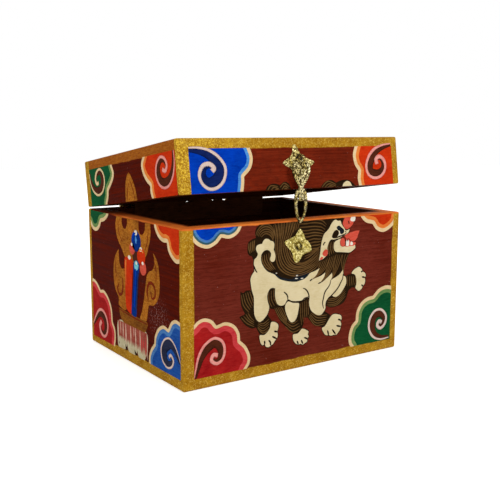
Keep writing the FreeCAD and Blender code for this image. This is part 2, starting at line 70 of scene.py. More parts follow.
def look_matrix(place, yaw, pitch, roll):
    """The camera's frame: x to the right, y up, z back towards the viewer."""
    yaw, pitch, roll = (math.radians(angle) for angle in (yaw, pitch, roll))
    ahead = Vector((math.sin(yaw) * math.cos(pitch), math.cos(yaw) * math.cos(pitch), math.sin(pitch)))
    right = Vector((math.cos(yaw), -math.sin(yaw), 0))
    up = right.cross(ahead)
    tilted_right = right * math.cos(roll) + up * math.sin(roll)
    tilted_up = up * math.cos(roll) - right * math.sin(roll)
    turn = Matrix((tilted_right, tilted_up, -ahead)).transposed()
    return Matrix.Translation(place) @ turn.to_4x4()


bpy.ops.object.camera_add()
camera = bpy.context.object
camera.matrix_world = look_matrix(CAMERA_PLACE, CAMERA_YAW, CAMERA_PITCH, CAMERA_ROLL)
camera.data.sensor_width = SENSOR_WIDTH
camera.data.lens = LENS
camera.data.clip_start = 0.01
bpy.context.scene.camera = camera
bpy.context.scene.view_settings.view_transform = "Standard"
print("camera at", [round(x, 4) for x in camera.location], "lens", camera.data.lens)

# %% [markdown]
# Materials in Blender are graphs of nodes. A small helper adds one node, sets its options and fills its
# sockets with values or with the output of an earlier node, so that each graph below reads like a recipe.
# Colours are written as they look on a screen, from 0 to 255, and turned into the linear light that the
# renderer works with.

# %% Help for node graphs
def colour(red, green, blue):
    """A colour as seen on a screen, 0 to 255, as linear light with full opacity."""
    parts = [part / 255 for part in (red, green, blue)]
    return tuple(p / 12.92 if p < 0.04045 else ((p + 0.055) / 1.055) ** 2.4 for p in parts) + (1.0,)


def node(tree, kind, inputs=None, **options):
    """Adds a shader node; an input is a plain value or another node's output socket."""
    made = tree.nodes.new("ShaderNode" + kind)
    for key, value in options.items():
        setattr(made, key, value)
    for key, value in (inputs or {}).items():
        if isinstance(value, bpy.types.NodeSocket):
            tree.links.new(value, made.inputs[key])
        else:
            made.inputs[key].default_value = value
    return made


def maths(tree, operation, first, second=0.0):
    """One sum, product or comparison of two numbers."""
    return node(tree, "Math", {0: first, 1: second}, operation=operation).outputs[0]


def rest(tree, share):
    """What is left of 1 when a share is taken away."""
    return maths(tree, "SUBTRACT", 1.0, share)


def spread(tree, value, low, high, first=0.0, last=1.0):
    """Runs from the first number at the low value to the last one at the high value, and stops there."""
    ranges = {"From Min": low, "From Max": high, "To Min": first, "To Max": last}
    return node(tree, "MapRange", {"Value": value, **ranges}).outputs[0]


def blended(tree, share, first, second):
    """The first colour where the share is 0, the second where it is 1."""
    return node(tree, "Mix", {0: share, 6: first, 7: second}, data_type="RGBA").outputs[2]


print("white paper in linear light:", [round(part, 3) for part in colour(240, 240, 240)[:3]])

# %% [markdown]
# Nothing made by hand has one flat colour, so nearly every finish below starts from noise. Two more helpers
# make noise and pull it out along an axis, one measures the distance from a worn or dirty spot, and the last
# two begin and end a material: its shader and coordinates, and the links for colour, gloss and bump.

# %% Help for finishes
def speckle(tree, where, scale, low, high, detail=4.0):
    """Cloudy noise, spread so that it runs from 0 at the low value to 1 at the high one."""
    noise = node(tree, "TexNoise", {"Vector": where, "Scale": scale, "Detail": detail, "Roughness": 0.6})
    return spread(tree, noise.outputs["Fac"], low, high)


def stretched(tree, where, scale):
    """Coordinates pulled out along an axis, for brush marks and grain."""
    return node(tree, "Mapping", {"Vector": where, "Scale": scale}).outputs[0]


def distance_from(tree, where, place):
    """How far each point lies from one place, in metres."""
    return node(tree, "VectorMath", {0: where, 1: place}, operation="DISTANCE").outputs["Value"]


def new_material(name):
    """An empty material with an output, its shader and the piece's own coordinates."""
    made = bpy.data.materials.new(name)
    made.use_nodes = True
    tree = made.node_tree
    tree.nodes.clear()
    shader = node(tree, "BsdfPrincipled")
    node(tree, "OutputMaterial", {"Surface": shader.outputs[0]})
    where = node(tree, "TexCoord").outputs["Object"]
    return made, tree, shader, where


def connect(tree, shader, base, gloss, height, strength, depth):
    """Links a colour, a roughness and a bump made from a height to a shader."""
    lift = node(tree, "Bump", {"Height": height, "Strength": strength, "Distance": depth})
    for socket, value in (("Base Color", base), ("Roughness", gloss), ("Normal", lift.outputs[0])):
        tree.links.new(value, shader.inputs[socket])


print("materials so far:", len(bpy.data.materials))

# %% [markdown]
# The stage is lit like a small studio. The background is white because the camera, mirrors and glass see a
# white world, while the light that falls on the box is weaker and comes from all round. Three square lamps
# give it a direction: one in front, one at the left and one behind.

# %% Light the stage
AIM = Vector((0, 0, 0.06))
LAMPS = {"key_lamp": ((0.25, -1.1, 0.75), 0.7, 7.0), "side_lamp": ((-1.1, -0.35, 0.55), 0.6, 4.0),
         "back_lamp": ((0.4, 1.0, 0.9), 0.8, 5.0)}


def seen_directly(tree):
    """1 for what the camera, a reflection or a glass sees, and 0 for light on its way to a surface."""
    path = node(tree, "LightPath").outputs
    seen = maths(tree, "MAXIMUM", path["Is Camera Ray"], path["Is Glossy Ray"])
    return maths(tree, "MAXIMUM", seen, path["Is Transmission Ray"])


world = bpy.data.worlds.new("studio")
bpy.context.scene.world = world
world.use_nodes = True
sky = world.node_tree
sky.nodes.clear()
soft_light = node(sky, "Background", {"Color": colour(255, 250, 244), "Strength": 0.52})
white_screen = node(sky, "Background", {"Color": (1, 1, 1, 1), "Strength": 1.0})
both = node(sky, "MixShader", {0: seen_directly(sky), 1: soft_light.outputs[0], 2: white_screen.outputs[0]})
node(sky, "OutputWorld", {"Surface": both.outputs[0]})
for name, (place, size, power) in LAMPS.items():
    bpy.ops.object.light_add(type="AREA", location=place)
    lamp = bpy.context.object
    lamp.name = name
    lamp.rotation_euler = (AIM - Vector(place)).to_track_quat("-Z", "Y").to_euler()
    lamp.data.size = size
    lamp.data.energy = power
print("lamps:", [(name, power) for name, (place, size, power) in LAMPS.items()])

# %% [markdown]
# The box stands on pale paper. The floor gives off a little light of its own, for the camera and for
# reflections only: it stays white and still shows the soft shadow of the box. It lies a hair below the box,
# so that the two don't share a plane.

# %% Lay the floor
bpy.ops.mesh.primitive_plane_add(size=4.0, location=(0, 0, -0.0002))
floor = bpy.context.object
floor.name = "studio_floor"
paper, tree, shader, where = new_material("pale_floor")
shader.inputs["Roughness"].default_value = 0.9
shader.inputs["Specular IOR Level"].default_value = 0.1
mottled = blended(tree, speckle(tree, where, 3.0, 0.3, 0.7), colour(236, 236, 235), colour(240, 240, 239))
tree.links.new(mottled, shader.inputs["Base Color"])
tree.links.new(maths(tree, "MULTIPLY", seen_directly(tree), 0.6), shader.inputs["Emission Strength"])
shader.inputs["Emission Color"].default_value = (1, 1, 1, 1)
floor.data.materials.append(paper)
print("floor at", round(floor.location.z, 5), "m")

# %% [markdown]
# Paint on wood is a film a few hundredths of a millimetre thick, and a painter lays light over dark in
# layers. So each patch of colour becomes its own thin slab that is rooted in the wood and stands a hair
# higher than the patch under it. The drawings are flat and in millimetres, and a frame for each face
# says where across, up and out of the board lie. The lid stands ajar, so its faces are turned about the
# hinge pin by the angle that the frame gives.

# %% Find the faces of the box
hinge = next(joint for joint in frame["joints"] if joint["name"] == "lid_hinge")
pin = Vector(hinge["pos_m"])
shut_turn = Matrix.Rotation(math.radians(hinge["range_deg"][0]), 4, Vector(hinge["axis"]))
shut = Matrix.Translation(pin) @ shut_turn @ Matrix.Translation(-pin)
ajar = shut.inverted()
east, north, upward = Vector((1, 0, 0)), Vector((0, 1, 0)), Vector((0, 0, 1))
corner_low, corner_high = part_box("front_board")[0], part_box("back_board")[1]
LID_TOP = 0.1127


def face(across, up, out, place):
    """A frame for drawing on a face in millimetres: across it, up it and out of the wood."""
    turn = Matrix((across, up, out)).transposed().to_4x4()
    return Matrix.Translation(place) @ turn @ Matrix.Scale(0.001, 4)


FACES = {
    "front": (face(east, upward, -north, (0, corner_low.y, 0)), "base"),
    "back": (face(east, upward, north, (0, corner_high.y, 0)), "base"),
    "left": (face(north, upward, -east, (corner_low.x, 0, 0)), "base"),
    "right": (face(north, upward, east, (corner_high.x, 0, 0)), "base"),
}
for side in list(FACES):
    FACES["lid_" + side] = (ajar @ FACES[side][0], "lid")
FACES["lid_top"] = (ajar @ face(east, north, upward, (0, 0, LID_TOP)), "lid")
print("faces to paint:", sorted(FACES))

# %% [markdown]
# The gold borders leave a panel free on each face, and no patch may run past it. The drawings were measured
# a little too large, so each face also has a scale and a shift that bring them to their place in the panel.
# The back takes the front's values and the right end those of the left.

# %% Set out the panels
def placed(scale_across, scale_up, across, up):
    """Scales a drawing and shifts it on its face, in millimetres."""
    return Matrix.Translation((across, up, 0)) @ Matrix.Diagonal((scale_across, scale_up, 1, 1))


PLACED = {"front": placed(0.9875, 0.9875, -0.26, 1.11), "left": placed(0.9886, 0.9851, -1.93, 1.60),
          "lid_front": placed(0.9879, 0.9887, -0.16, 0.82), "lid_left": placed(0.9885, 0.9853, -2.06, 1.18)}
PANELS = {"front": (-69.3, 71.1, 5.0, 83.4), "left": (-54.8, 57.8, 4.4, 83.4),
          "lid_front": (-69.3, 71.1, 84.9, 107.7), "lid_left": (-55.3, 55.3, 84.9, 107.6)}
for seen, unseen in (("front", "back"), ("left", "right")):
    for values in (PLACED, PANELS):
        values[unseen], values["lid_" + unseen] = values[seen], values["lid_" + seen]
PANELS["lid_top"] = (-68.5, 69.7, -55.3, 55.3)
print("panels, as left, right, low and high in mm:", PANELS)

# %% [markdown]
# A painter's outline is a few chosen points with a smooth sweep between them, broken by sharp corners
# where two lobes meet. Bezier handles could do this by hand. Here a short function sweeps a smooth line
# through the points, and a point that is marked with SHARP keeps its corner. A third number at a point,
# where there is one, is the width of a brush stroke there, and it changes evenly along the line.

# %% Draw smooth lines
SHARP = True


def sweep(points, closed, step=0.5):
    """A dense smooth line through the points, with corners where a point is marked SHARP."""
    count = len(points)
    places = [Vector(point[:2]) for point in points]
    widths = [point[2] if len(point) > 2 and point[2] is not SHARP else None for point in points]
    sharp = [len(point) > 2 and point[2] is SHARP for point in points]
    line = []
    for start in range(count if closed else count - 1):
        end = (start + 1) % count
        a, b = places[start], places[end]
        before = places[start - 1] if (closed or start) and not sharp[start] else a - (b - a)
        after = places[(end + 1) % count] if (closed or end < count - 1) and not sharp[end] else b + (b - a)
        span = (b - a).length
        pull_a = (b - before) * span / max((b - a).length + (a - before).length, 1e-6)
        pull_b = (after - a) * span / max((after - b).length + (b - a).length, 1e-6)
        steps = max(2, int(span / step))
        for number in range(steps):
            t = number / steps
            place = (a * (2 * t**3 - 3 * t**2 + 1) + pull_a * (t**3 - 2 * t**2 + t)
                     + b * (3 * t**2 - 2 * t**3) + pull_b * (t**3 - t**2))
            width = None if widths[start] is None else widths[start] + (widths[end] - widths[start]) * t
            line.append((place.x, place.y) if width is None else (place.x, place.y, width))
    if not closed:
        line.append(tuple(points[-1]))
    return line


def swept_shapes(outlines):
    """Closed smooth outlines, for patches of paint."""
    return [sweep(points, True) for points in outlines]


def swept_strokes(lines, step=0.5):
    """Open smooth lines, for brush strokes."""
    return [sweep(points, False, step) for points in lines]


print("a swept square has", len(sweep([(0, 0), (9, 0), (9, 9), (0, 9)], True)), "points")

# %% [markdown]
# Inside a shape the painter leaves a border of the colour below, and round it runs an ink line of even
# width. Both are the same outline moved in or out by a steady distance. The sign of the outline's area says
# which way round it was drawn, and so which side is the inside.

# %% Draw an outline further in
def drawn_in(outline, distance):
    """The same outline a steady distance further in, or further out for a distance below 0."""
    count = len(outline)
    area = sum(outline[i - 1][0] * outline[i][1] - outline[i][0] * outline[i - 1][1] for i in range(count))
    inner = []
    for i in range(count):
        before, here, after = (Vector(outline[(i + k) % count][:2]) for k in (-1, 0, 1))
        along = (here - before).normalized() + (after - here).normalized()
        along.normalize()
        inward = Vector((-along.y, along.x)) * (1 if area > 0 else -1)
        inner.append(tuple(here + inward * distance))
    return inner


square = [(0, 0), (9, 0), (9, 9), (0, 9)]
print("a square's corner drawn in:", [round(x, 2) for x in drawn_in(square, 1.0)[0]])

# %% [markdown]
# All drawings become pieces in the same way. A curve object takes the lines, a conversion makes it a mesh,
# and that mesh is trimmed at the edges of its panel with bisect and moved to its face. The move is applied
# to the mesh, so the object stays at the origin, and the normals are turned outwards at the end.

# %% Settle a drawing on its face
def new_drawing(name, dimensions):
    """An empty curve object that is alone selected."""
    bpy.ops.object.select_all(action="DESELECT")
    bpy.ops.curve.primitive_bezier_curve_add()
    drawing = bpy.context.object
    drawing.name = drawing.data.name = name
    drawing.data.splines.clear()
    drawing.data.dimensions = dimensions
    return drawing


def add_line(drawing, places, widths, closed):
    """Adds one line to a drawing, through places of three coordinates and with a width at each."""
    spline = drawing.data.splines.new("POLY")
    spline.points.add(len(places) - 1)
    for knot, place, width in zip(spline.points, places, widths):
        knot.co = (*place, 1)
        knot.radius = width
    spline.use_cyclic_u = closed


def edit_all():
    """Opens the active mesh for editing, with all of it selected."""
    bpy.ops.object.mode_set(mode="EDIT")
    bpy.ops.mesh.select_all(action="SELECT")


def carry(piece, matrix):
    """Moves a piece's mesh to its place, leaves the object at the origin and turns the faces outwards."""
    piece.matrix_world = matrix
    bpy.ops.object.transform_apply(location=True, rotation=True, scale=True)
    edit_all()
    bpy.ops.mesh.normals_make_consistent(inside=False)
    bpy.ops.object.mode_set(mode="OBJECT")


def cover(piece, finish):
    """Gives a piece one finish in place of what it had."""
    piece.data.materials.clear()
    piece.data.materials.append(finish)


def settle(piece, side, finish, panel=None):
    """Trims a converted drawing to its panel and puts it on its face."""
    edit_all()
    bpy.ops.mesh.remove_doubles(threshold=0.002)
    if panel:
        left, right, low, high = panel
        for place, out in (((left, 0, 0), (-1, 0, 0)), ((right, 0, 0), (1, 0, 0)),
                           ((0, low, 0), (0, -1, 0)), ((0, high, 0), (0, 1, 0))):
            bpy.ops.mesh.select_all(action="SELECT")
            bpy.ops.mesh.bisect(plane_co=place, plane_no=out, use_fill=True, clear_outer=True)
    bpy.ops.object.mode_set(mode="OBJECT")
    matrix, body = FACES[side]
    carry(piece, matrix @ PLACED.get(side, Matrix()))
    cover(piece, finish)
    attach(piece, body)
    return piece


print("a drawing can go on", len(FACES), "faces of the box")

# %% [markdown]
# A patch of paint starts as a flat curve: Blender fills a closed 2D curve and gives it a thickness, and an
# outline inside another cuts a hole. A brush line is thick where the brush was pressed and thin where it was
# lifted. A curve with a round bevel and a width at each point gives just that, and it is squeezed flat
# against the board.

# %% Make patches and brush lines
ROOT = 0.08


def patch(name, side, outlines, finish, height, panel=None):
    """A slab of paint inside closed outlines, standing the given height in millimetres above the wood."""
    drawing = new_drawing(name, "2D")
    drawing.data.fill_mode = "BOTH"
    drawing.data.extrude = (height + ROOT) / 2
    for outline in outlines:
        add_line(drawing, [(*place[:2], 0) for place in outline], [1.0] * len(outline), True)
    bpy.ops.object.convert(target="MESH")
    edit_all()
    bpy.ops.transform.translate(value=(0, 0, (height - ROOT) / 2))
    bpy.ops.object.mode_set(mode="OBJECT")
    return settle(bpy.context.object, side, finish, panel or PANELS[side])


def brush_lines(name, side, lines, finish, height, flat, panel=None):
    """Strokes of (across, up, width) in millimetres, pressed flat to a share of their width."""
    drawing = new_drawing(name, "3D")
    drawing.data.twist_mode = "Z_UP"
    drawing.data.bevel_depth = 0.5
    drawing.data.bevel_resolution = 1
    drawing.data.use_fill_caps = True
    for line in lines:
        add_line(drawing, [(*place[:2], 0) for place in line], [place[2] for place in line], False)
    bpy.ops.object.convert(target="MESH")
    edit_all()
    bpy.ops.transform.resize(value=(1, 1, flat))
    bpy.ops.transform.translate(value=(0, 0, height))
    bpy.ops.object.mode_set(mode="OBJECT")
    return settle(bpy.context.object, side, finish, panel or PANELS[side])


print("paint starts", ROOT, "mm deep in the wood")

# %% [markdown]
# Poster colour under a thin varnish is never one flat tone: the brush leaves streaks, the coat is thin in
# places, and the varnish gathers dust. Each colour here is mixed from three tones by two noises, one broad
# for the thin places and one pulled out along the brush, which also gives a little bump and gloss. The
# ochres were mixed with gold dust, and a fine third noise gives them their grain.

# %% Mix the painter's colours
VARNISH = 0.004


def painted(name, deep, main, pale, thin=0.5, grain=0.0):
    """A brushed colour between a deep and a pale tone, with a satin varnish and a grain if asked."""
    made, tree, shader, where = new_material(name)
    broad = speckle(tree, where, 110.0, 0.34, 0.68)
    brushed = speckle(tree, stretched(tree, where, (1.0, 1.0, 5.0)), 260.0, 0.3, 0.72, 6.0)
    body = blended(tree, broad, colour(*deep), colour(*main))
    touched = blended(tree, maths(tree, "MULTIPLY", brushed, thin), body, colour(*pale))
    if grain:
        specks = speckle(tree, where, 1300.0, 0.46, 0.7, 2.0)
        touched = blended(tree, maths(tree, "MULTIPLY", specks, grain), touched, colour(*deep))
    gloss = spread(tree, brushed, 0.0, 1.0, 0.42, 0.58)
    connect(tree, shader, touched, gloss, brushed, strength=0.25, depth=0.0002)
    shader.inputs["Specular IOR Level"].default_value = VARNISH
    return made


CREAM = painted("cream_border", (206, 174, 122), (224, 196, 148), (236, 216, 178))
IVORY = painted("ivory_coat", (200, 182, 134), (216, 202, 160), (226, 212, 178))
PINK = painted("rose_line", (214, 118, 112), (230, 146, 136), (240, 192, 180))
PALE_PINK = painted("shell_line", (200, 176, 168), (216, 190, 178), (230, 212, 202))
DEEP_BLUE = painted("deep_blue", (0, 42, 144), (0, 56, 180), (8, 76, 200))
ROYAL_BLUE = painted("royal_blue", (0, 28, 92), (2, 42, 120), (12, 64, 156))
MID_BLUE = painted("mid_blue", (10, 52, 128), (22, 72, 156), (56, 108, 180))
NAVY = painted("navy_shade", (8, 20, 66), (16, 32, 88), (30, 50, 110))
LIGHT_BLUE = painted("light_blue", (40, 106, 184), (66, 142, 216), (116, 176, 228))
SKY_BLUE = painted("sky_blue", (44, 88, 150), (64, 116, 180), (100, 152, 204))
TEAL = painted("teal_line", (34, 60, 66), (48, 84, 98), (80, 124, 134))
VERMILION = painted("vermilion", (172, 36, 6), (198, 46, 12), (218, 68, 26))
ORANGE = painted("orange_border", (204, 96, 36), (222, 126, 52), (232, 150, 76))
CRIMSON = painted("crimson", (130, 12, 18), (162, 24, 26), (184, 48, 44))
ROSE_RED = painted("rose_red", (178, 38, 48), (202, 56, 62), (218, 92, 88))
GREEN = painted("deep_green", (2, 58, 30), (10, 78, 42), (30, 98, 58))
LEAF_GREEN = painted("leaf_green", (70, 112, 60), (110, 142, 82), (142, 160, 98))
BROWN_SHADE = painted("brown_shade", (56, 28, 18), (78, 36, 22), (100, 46, 28))
HAIR_BROWN = painted("hair_brown", (24, 15, 7), (34, 23, 11), (50, 34, 18))
HAIR_LINE = painted("hair_line", (80, 55, 28), (98, 70, 37), (122, 92, 54))
INK = painted("ink_line", (22, 14, 10), (32, 22, 16), (52, 40, 32))
OCHRE = painted("flame_ochre", (104, 46, 8), (176, 100, 26), (206, 140, 50), 0.7, 0.8)
DISH_BROWN = painted("dish_brown", (88, 44, 10), (134, 78, 20), (164, 108, 40), 0.6, 0.8)
NIGHT_BLUE = painted("night_blue", (22, 28, 50), (36, 42, 68), (58, 62, 88))
print("colours mixed:", len(bpy.data.materials))

# %% [markdown]
# The boards carry the ground: dark red outside, gold along the edges, orange on the sawn rim and a brown
# stain inside. Each area is a mask, a number from 0 to 1 that the graph works out by comparing the piece's
# own coordinates with a border. Painted by hand, the areas meet in slightly wavering lines, so a little
# noise pushes the coordinates about first. The panels don't lie quite in the middle of the boards.

# %% Set out the gold posts
SKIN = 0.0008
WAVER = 0.0016
PANEL_MIDDLE, PANEL_HALF = 0.0006, 0.0690
END_PANELS = {"base": (-0.0005, 0.0554), "lid": (-0.0021, 0.0546)}


def over(tree, value, edge, blur=0.00025):
    """1 where a coordinate is above an edge, 0 below it, with a soft step between."""
    return spread(tree, value, edge - blur, edge + blur)


def set_out(tree, where, part):
    """Exact and wavering coordinates, with masks of the ends, the upright faces and the gold posts."""
    noise = node(tree, "TexNoise", {"Vector": where, "Scale": 95.0, "Detail": 3.0}).outputs["Color"]
    push = node(tree, "VectorMath", {0: noise, 1: (0.5, 0.5, 0.5)}, operation="SUBTRACT").outputs[0]
    push = node(tree, "VectorMath", {0: push, 1: (WAVER, WAVER, WAVER)}, operation="MULTIPLY").outputs[0]
    drawn = node(tree, "VectorMath", {0: where, 1: push}, operation="ADD").outputs[0]
    exact = node(tree, "SeparateXYZ", {0: where}).outputs
    loose = node(tree, "SeparateXYZ", {0: drawn}).outputs
    end_middle, end_half = END_PANELS[part]
    wide = maths(tree, "ABSOLUTE", maths(tree, "SUBTRACT", loose["X"], PANEL_MIDDLE))
    deep = maths(tree, "ABSOLUTE", maths(tree, "SUBTRACT", loose["Y"], end_middle))
    at = {"exact": exact, "loose": loose}
    at["from_end"], at["from_side"] = (maths(tree, "ABSOLUTE", exact[axis]) for axis in "XY")
    at["ends"] = over(tree, at["from_end"], corner_high.x - SKIN)
    sides = over(tree, at["from_side"], corner_high.y - SKIN)
    at["outside"] = maths(tree, "MAXIMUM", at["ends"], sides)
    at["near_end"], at["near_side"] = over(tree, wide, PANEL_HALF), over(tree, deep, end_half)
    at["posts"] = maths(tree, "MULTIPLY", at["near_end"], at["near_side"])
    return at


print("paint reaches", SKIN, "m into the boards; half the box is", round(corner_high.x, 4), "m wide")

# %% [markdown]
# The base has a gold strip along its foot, whose upper edge sags towards the back of the ends. Its sawn rim
# is orange near the outer edge and stained further in, and the left board's rim loses its orange towards
# the back. The lid's gold strip runs round its upper edge and over onto the top, and its rim is its whole
# underside.

# %% Set out the strips and the rims
FOOT_STRIP, FOOT_SAG, SAG_FROM, SAG_TO = 0.0063, 0.0017, 0.012, 0.045
RIM_HEIGHT, RIM_FROM_END, RIM_FROM_SIDE = 0.0834, 0.0674, 0.0514
RIM_FADE_FROM, RIM_FADE_TO, RIM_FADE_BOARD = 0.004, 0.03, -0.064
LID_STRIP, LID_TOP_BORDER, LID_RIM = 0.1070, 0.0552, 0.0841


def base_areas(tree, at):
    """Adds the underside, the gilded areas and the orange rim of the base."""
    exact, loose = at["exact"], at["loose"]
    sag = maths(tree, "MULTIPLY", at["ends"], spread(tree, exact["Y"], SAG_FROM, SAG_TO, 0.0, FOOT_SAG))
    strip = rest(tree, over(tree, maths(tree, "ADD", loose["Z"], sag), FOOT_STRIP))
    at["gilded"] = maths(tree, "MAXIMUM", at["posts"], strip)
    at["outside"] = maths(tree, "MAXIMUM", at["outside"], rest(tree, over(tree, exact["Z"], SKIN)))
    near_edge = maths(tree, "MAXIMUM", over(tree, at["from_end"], RIM_FROM_END, 0.0011),
                      over(tree, at["from_side"], RIM_FROM_SIDE, 0.0007))
    # the orange of the left board's rim fades out towards the back
    rim_fade = spread(tree, loose["Y"], RIM_FADE_FROM, RIM_FADE_TO)
    rim_fade = maths(tree, "MULTIPLY", rim_fade, rest(tree, over(tree, exact["X"], RIM_FADE_BOARD)))
    unfaded_rim = maths(tree, "SUBTRACT", near_edge, rim_fade)
    rim = maths(tree, "MULTIPLY", over(tree, loose["Z"], RIM_HEIGHT), unfaded_rim)
    at["rim"] = maths(tree, "MAXIMUM", rim, 0.0)


def lid_areas(tree, at):
    """Adds the top, the gilded areas, the worn ends of the gold strip and the orange rim of the lid."""
    exact, loose = at["exact"], at["loose"]
    top = at["top"] = over(tree, exact["Z"], LID_TOP - SKIN)
    at["outside"] = maths(tree, "MAXIMUM", at["outside"], top)
    top_side = over(tree, maths(tree, "ABSOLUTE", loose["Y"]), LID_TOP_BORDER)
    below_top = maths(tree, "MULTIPLY", at["near_side"], rest(tree, top))
    border = maths(tree, "ADD", maths(tree, "MULTIPLY", top_side, top), below_top)
    strip = maths(tree, "MAXIMUM", at["near_end"], border)
    strip = maths(tree, "MULTIPLY", over(tree, loose["Z"], LID_STRIP), strip)
    at["gilded"] = maths(tree, "MAXIMUM", at["posts"], strip)
    at["worn"] = maths(tree, "SUBTRACT", at["ends"], at["near_side"])
    at["rim"] = rest(tree, over(tree, exact["Z"], LID_RIM, 0.0003))


print("gold strips: below", FOOT_STRIP, "m on the base and above", LID_STRIP, "m on the lid")

# %% [markdown]
# The red was brushed on in level streaks, with painted shade that darkens it on the ends, and it has dust in
# it and a chipped spot on the left end. The gold is bronze powder in varnish: glints and pits of a fine
# noise give it its sparkle.
# A painted highlight brightens it and adds sparkle towards the lid's near corner, and it is rubbed thin
# along the lid's ends.

# %% Mix the red and the gold
CHIPPED_SPOT = (-0.075, -0.0326, 0.0331)
GOLD_HIGHLIGHT_CORNER = (-0.072, -0.059, 0.1)
REDS_OF_GROUND = {"base": ((104, 38, 28), (128, 54, 40)), "lid": ((120, 33, 12), (138, 52, 28))}


def ground_red(tree, where, at, part, broad, streaks):
    """Streaked dark red with dust, a chipped spot and painted shade on the ends."""
    light, streaky = REDS_OF_GROUND[part]
    red = blended(tree, broad, colour(84, 21, 8), colour(*light))
    red = blended(tree, maths(tree, "MULTIPLY", streaks, 0.45), red, colour(*streaky))
    ripple = speckle(tree, stretched(tree, where, (0.22, 0.22, 1.3)), 1000.0, 0.46, 0.66, 3.0)
    red = blended(tree, maths(tree, "MULTIPLY", ripple, 0.5), red, colour(70, 22, 12))
    # painted shade: the ends get a darker red than the front and the back
    end_red_painted_shade = blended(tree, streaks, colour(62, 8, 0), colour(88, 20, 4))
    red = blended(tree, at["ends"], red, end_red_painted_shade)
    dust = speckle(tree, where, 800.0, 0.735, 0.755, 2.0)
    rubbed = spread(tree, distance_from(tree, where, CHIPPED_SPOT), 0.014, 0.004)
    chips = maths(tree, "MULTIPLY", rubbed, speckle(tree, where, 1000.0, 0.55, 0.66, 2.0))
    return blended(tree, maths(tree, "MAXIMUM", dust, chips), red, colour(146, 104, 98))


def ground_gold(tree, where, at, part, fine):
    """Bronze powder with glints and pits, on the lid with a painted highlight at one corner and worn on the
    ends.
    """
    gold = blended(tree, speckle(tree, where, 150.0, 0.3, 0.7), colour(146, 98, 16), colour(184, 138, 32))
    glint = maths(tree, "MULTIPLY", speckle(tree, where, 1500.0, 0.5, 0.75, 2.0), 0.8)
    pit = maths(tree, "MULTIPLY", speckle(tree, where, 1150.0, 0.54, 0.76, 2.0), 0.75)
    gold = blended(tree, glint, gold, colour(226, 190, 88))
    gold = blended(tree, pit, gold, colour(108, 70, 12))
    if part == "lid":
        # painted highlight: the gold grows brighter and sparkles more within 52 mm of the lid's near corner
        thick = spread(tree, distance_from(tree, where, GOLD_HIGHLIGHT_CORNER), 0.052, 0.0)
        sparkle = maths(tree, "MULTIPLY", thick, speckle(tree, where, 1400.0, 0.46, 0.66, 2.0))
        gold = blended(tree, sparkle, gold, colour(244, 206, 70))
        worn_gold = blended(tree, fine, colour(136, 68, 16), colour(172, 104, 34))
        gold = blended(tree, at["worn"], gold, worn_gold)
    return gold


print("grounds to mix:", list(REDS_OF_GROUND))

# %% [markdown]
# Now the areas get their colours. The lid's coordinates pass through a Mapping node that turns them back to
# the shut position, so that both parts can be measured from the same corner. The streaks run level on the
# upright faces and along the box on the lid's top.

# %% Lay the ground on the boards
def ground(part):
    """Dark red with gold borders, an orange rim and a stained inside, for the base or for the lid."""
    made, tree, shader, where = new_material(part + "_ground")
    if part == "lid":
        turned = {"Vector": where, "Location": shut.translation, "Rotation": shut.to_euler()}
        where = node(tree, "Mapping", turned).outputs[0]
    at = set_out(tree, where, part)
    broad = speckle(tree, where, 34.0, 0.32, 0.7)
    streaks = speckle(tree, stretched(tree, where, (14.0, 14.0, 420.0)), 2.2, 0.35, 0.68, 5.0)
    fine = speckle(tree, stretched(tree, where, (1.0, 1.0, 6.0)), 420.0, 0.35, 0.7, 5.0)
    if part == "lid":
        lid_areas(tree, at)
        along = speckle(tree, stretched(tree, where, (14.0, 420.0, 14.0)), 2.2, 0.35, 0.68, 5.0)
        streaks = blended(tree, at["top"], streaks, along)
    else:
        base_areas(tree, at)
    red = ground_red(tree, where, at, part, broad, streaks)
    gold = ground_gold(tree, where, at, part, fine)
    stain = blended(tree, streaks, colour(70, 30, 12), colour(100, 48, 22))
    rust = blended(tree, broad, colour(202, 94, 36), colour(238, 138, 58))
    coat = blended(tree, at["gilded"], red, gold)
    coat = blended(tree, at["outside"], stain, coat)
    coat = blended(tree, at["rim"], coat, rust)
    gloss = spread(tree, streaks, 0.0, 1.0, 0.36, 0.55)
    connect(tree, shader, coat, gloss, fine, strength=0.3, depth=0.0003)
    shader.inputs["Specular IOR Level"].default_value = VARNISH
    return made


BOARDS = {
    "base": ("front_board", "back_board", "left_board", "right_board", "floor_board", "base_corner_brads",
             "floor_brads"),
    "lid": ("lid_front_rail", "lid_back_rail", "lid_left_rail", "lid_right_rail", "lid_top_board",
            "lid_corner_brads", "lid_top_brads"),
}
for part, boards in BOARDS.items():
    finish = ground(part)
    for name in boards:
        cover(nodes[name], finish)
print("ground laid on boards; the lid is turned", hinge["range_deg"][0], "degrees from shut")

# %% [markdown]
# Lobed clouds fill the corners of each panel. On the real box the painter laid a cream shape first and then
# ever deeper tones inside it, each leaving a border of the one before. A set of tones says how far in from
# the outline each colour starts, in millimetres. The front's blue has one tone more, a thin teal line. The
# outlines run from one edge of the panel to the other and close outside it; the panel's edge trims them,
# as the gold border does.

# %% Draw the clouds of the front
COAT = 0.03
BLUES = [(0, CREAM), (2.0, LIGHT_BLUE), (3.8, DEEP_BLUE)]
REDS = [(0, CREAM), (2.2, ORANGE), (4.4, VERMILION)]
CRIMSONS = [(0, CREAM), (1.8, ROSE_RED), (4.8, CRIMSON)]
FRONT_BLUES = [(0, CREAM), (1.9, TEAL), (3.0, SKY_BLUE), (4.3, DEEP_BLUE)]
END_BLUES = [(0, CREAM), (1.9, SKY_BLUE), (4.2, MID_BLUE)]
GREENS = [(0, CREAM), (2.2, LEAF_GREEN), (4.4, GREEN)]


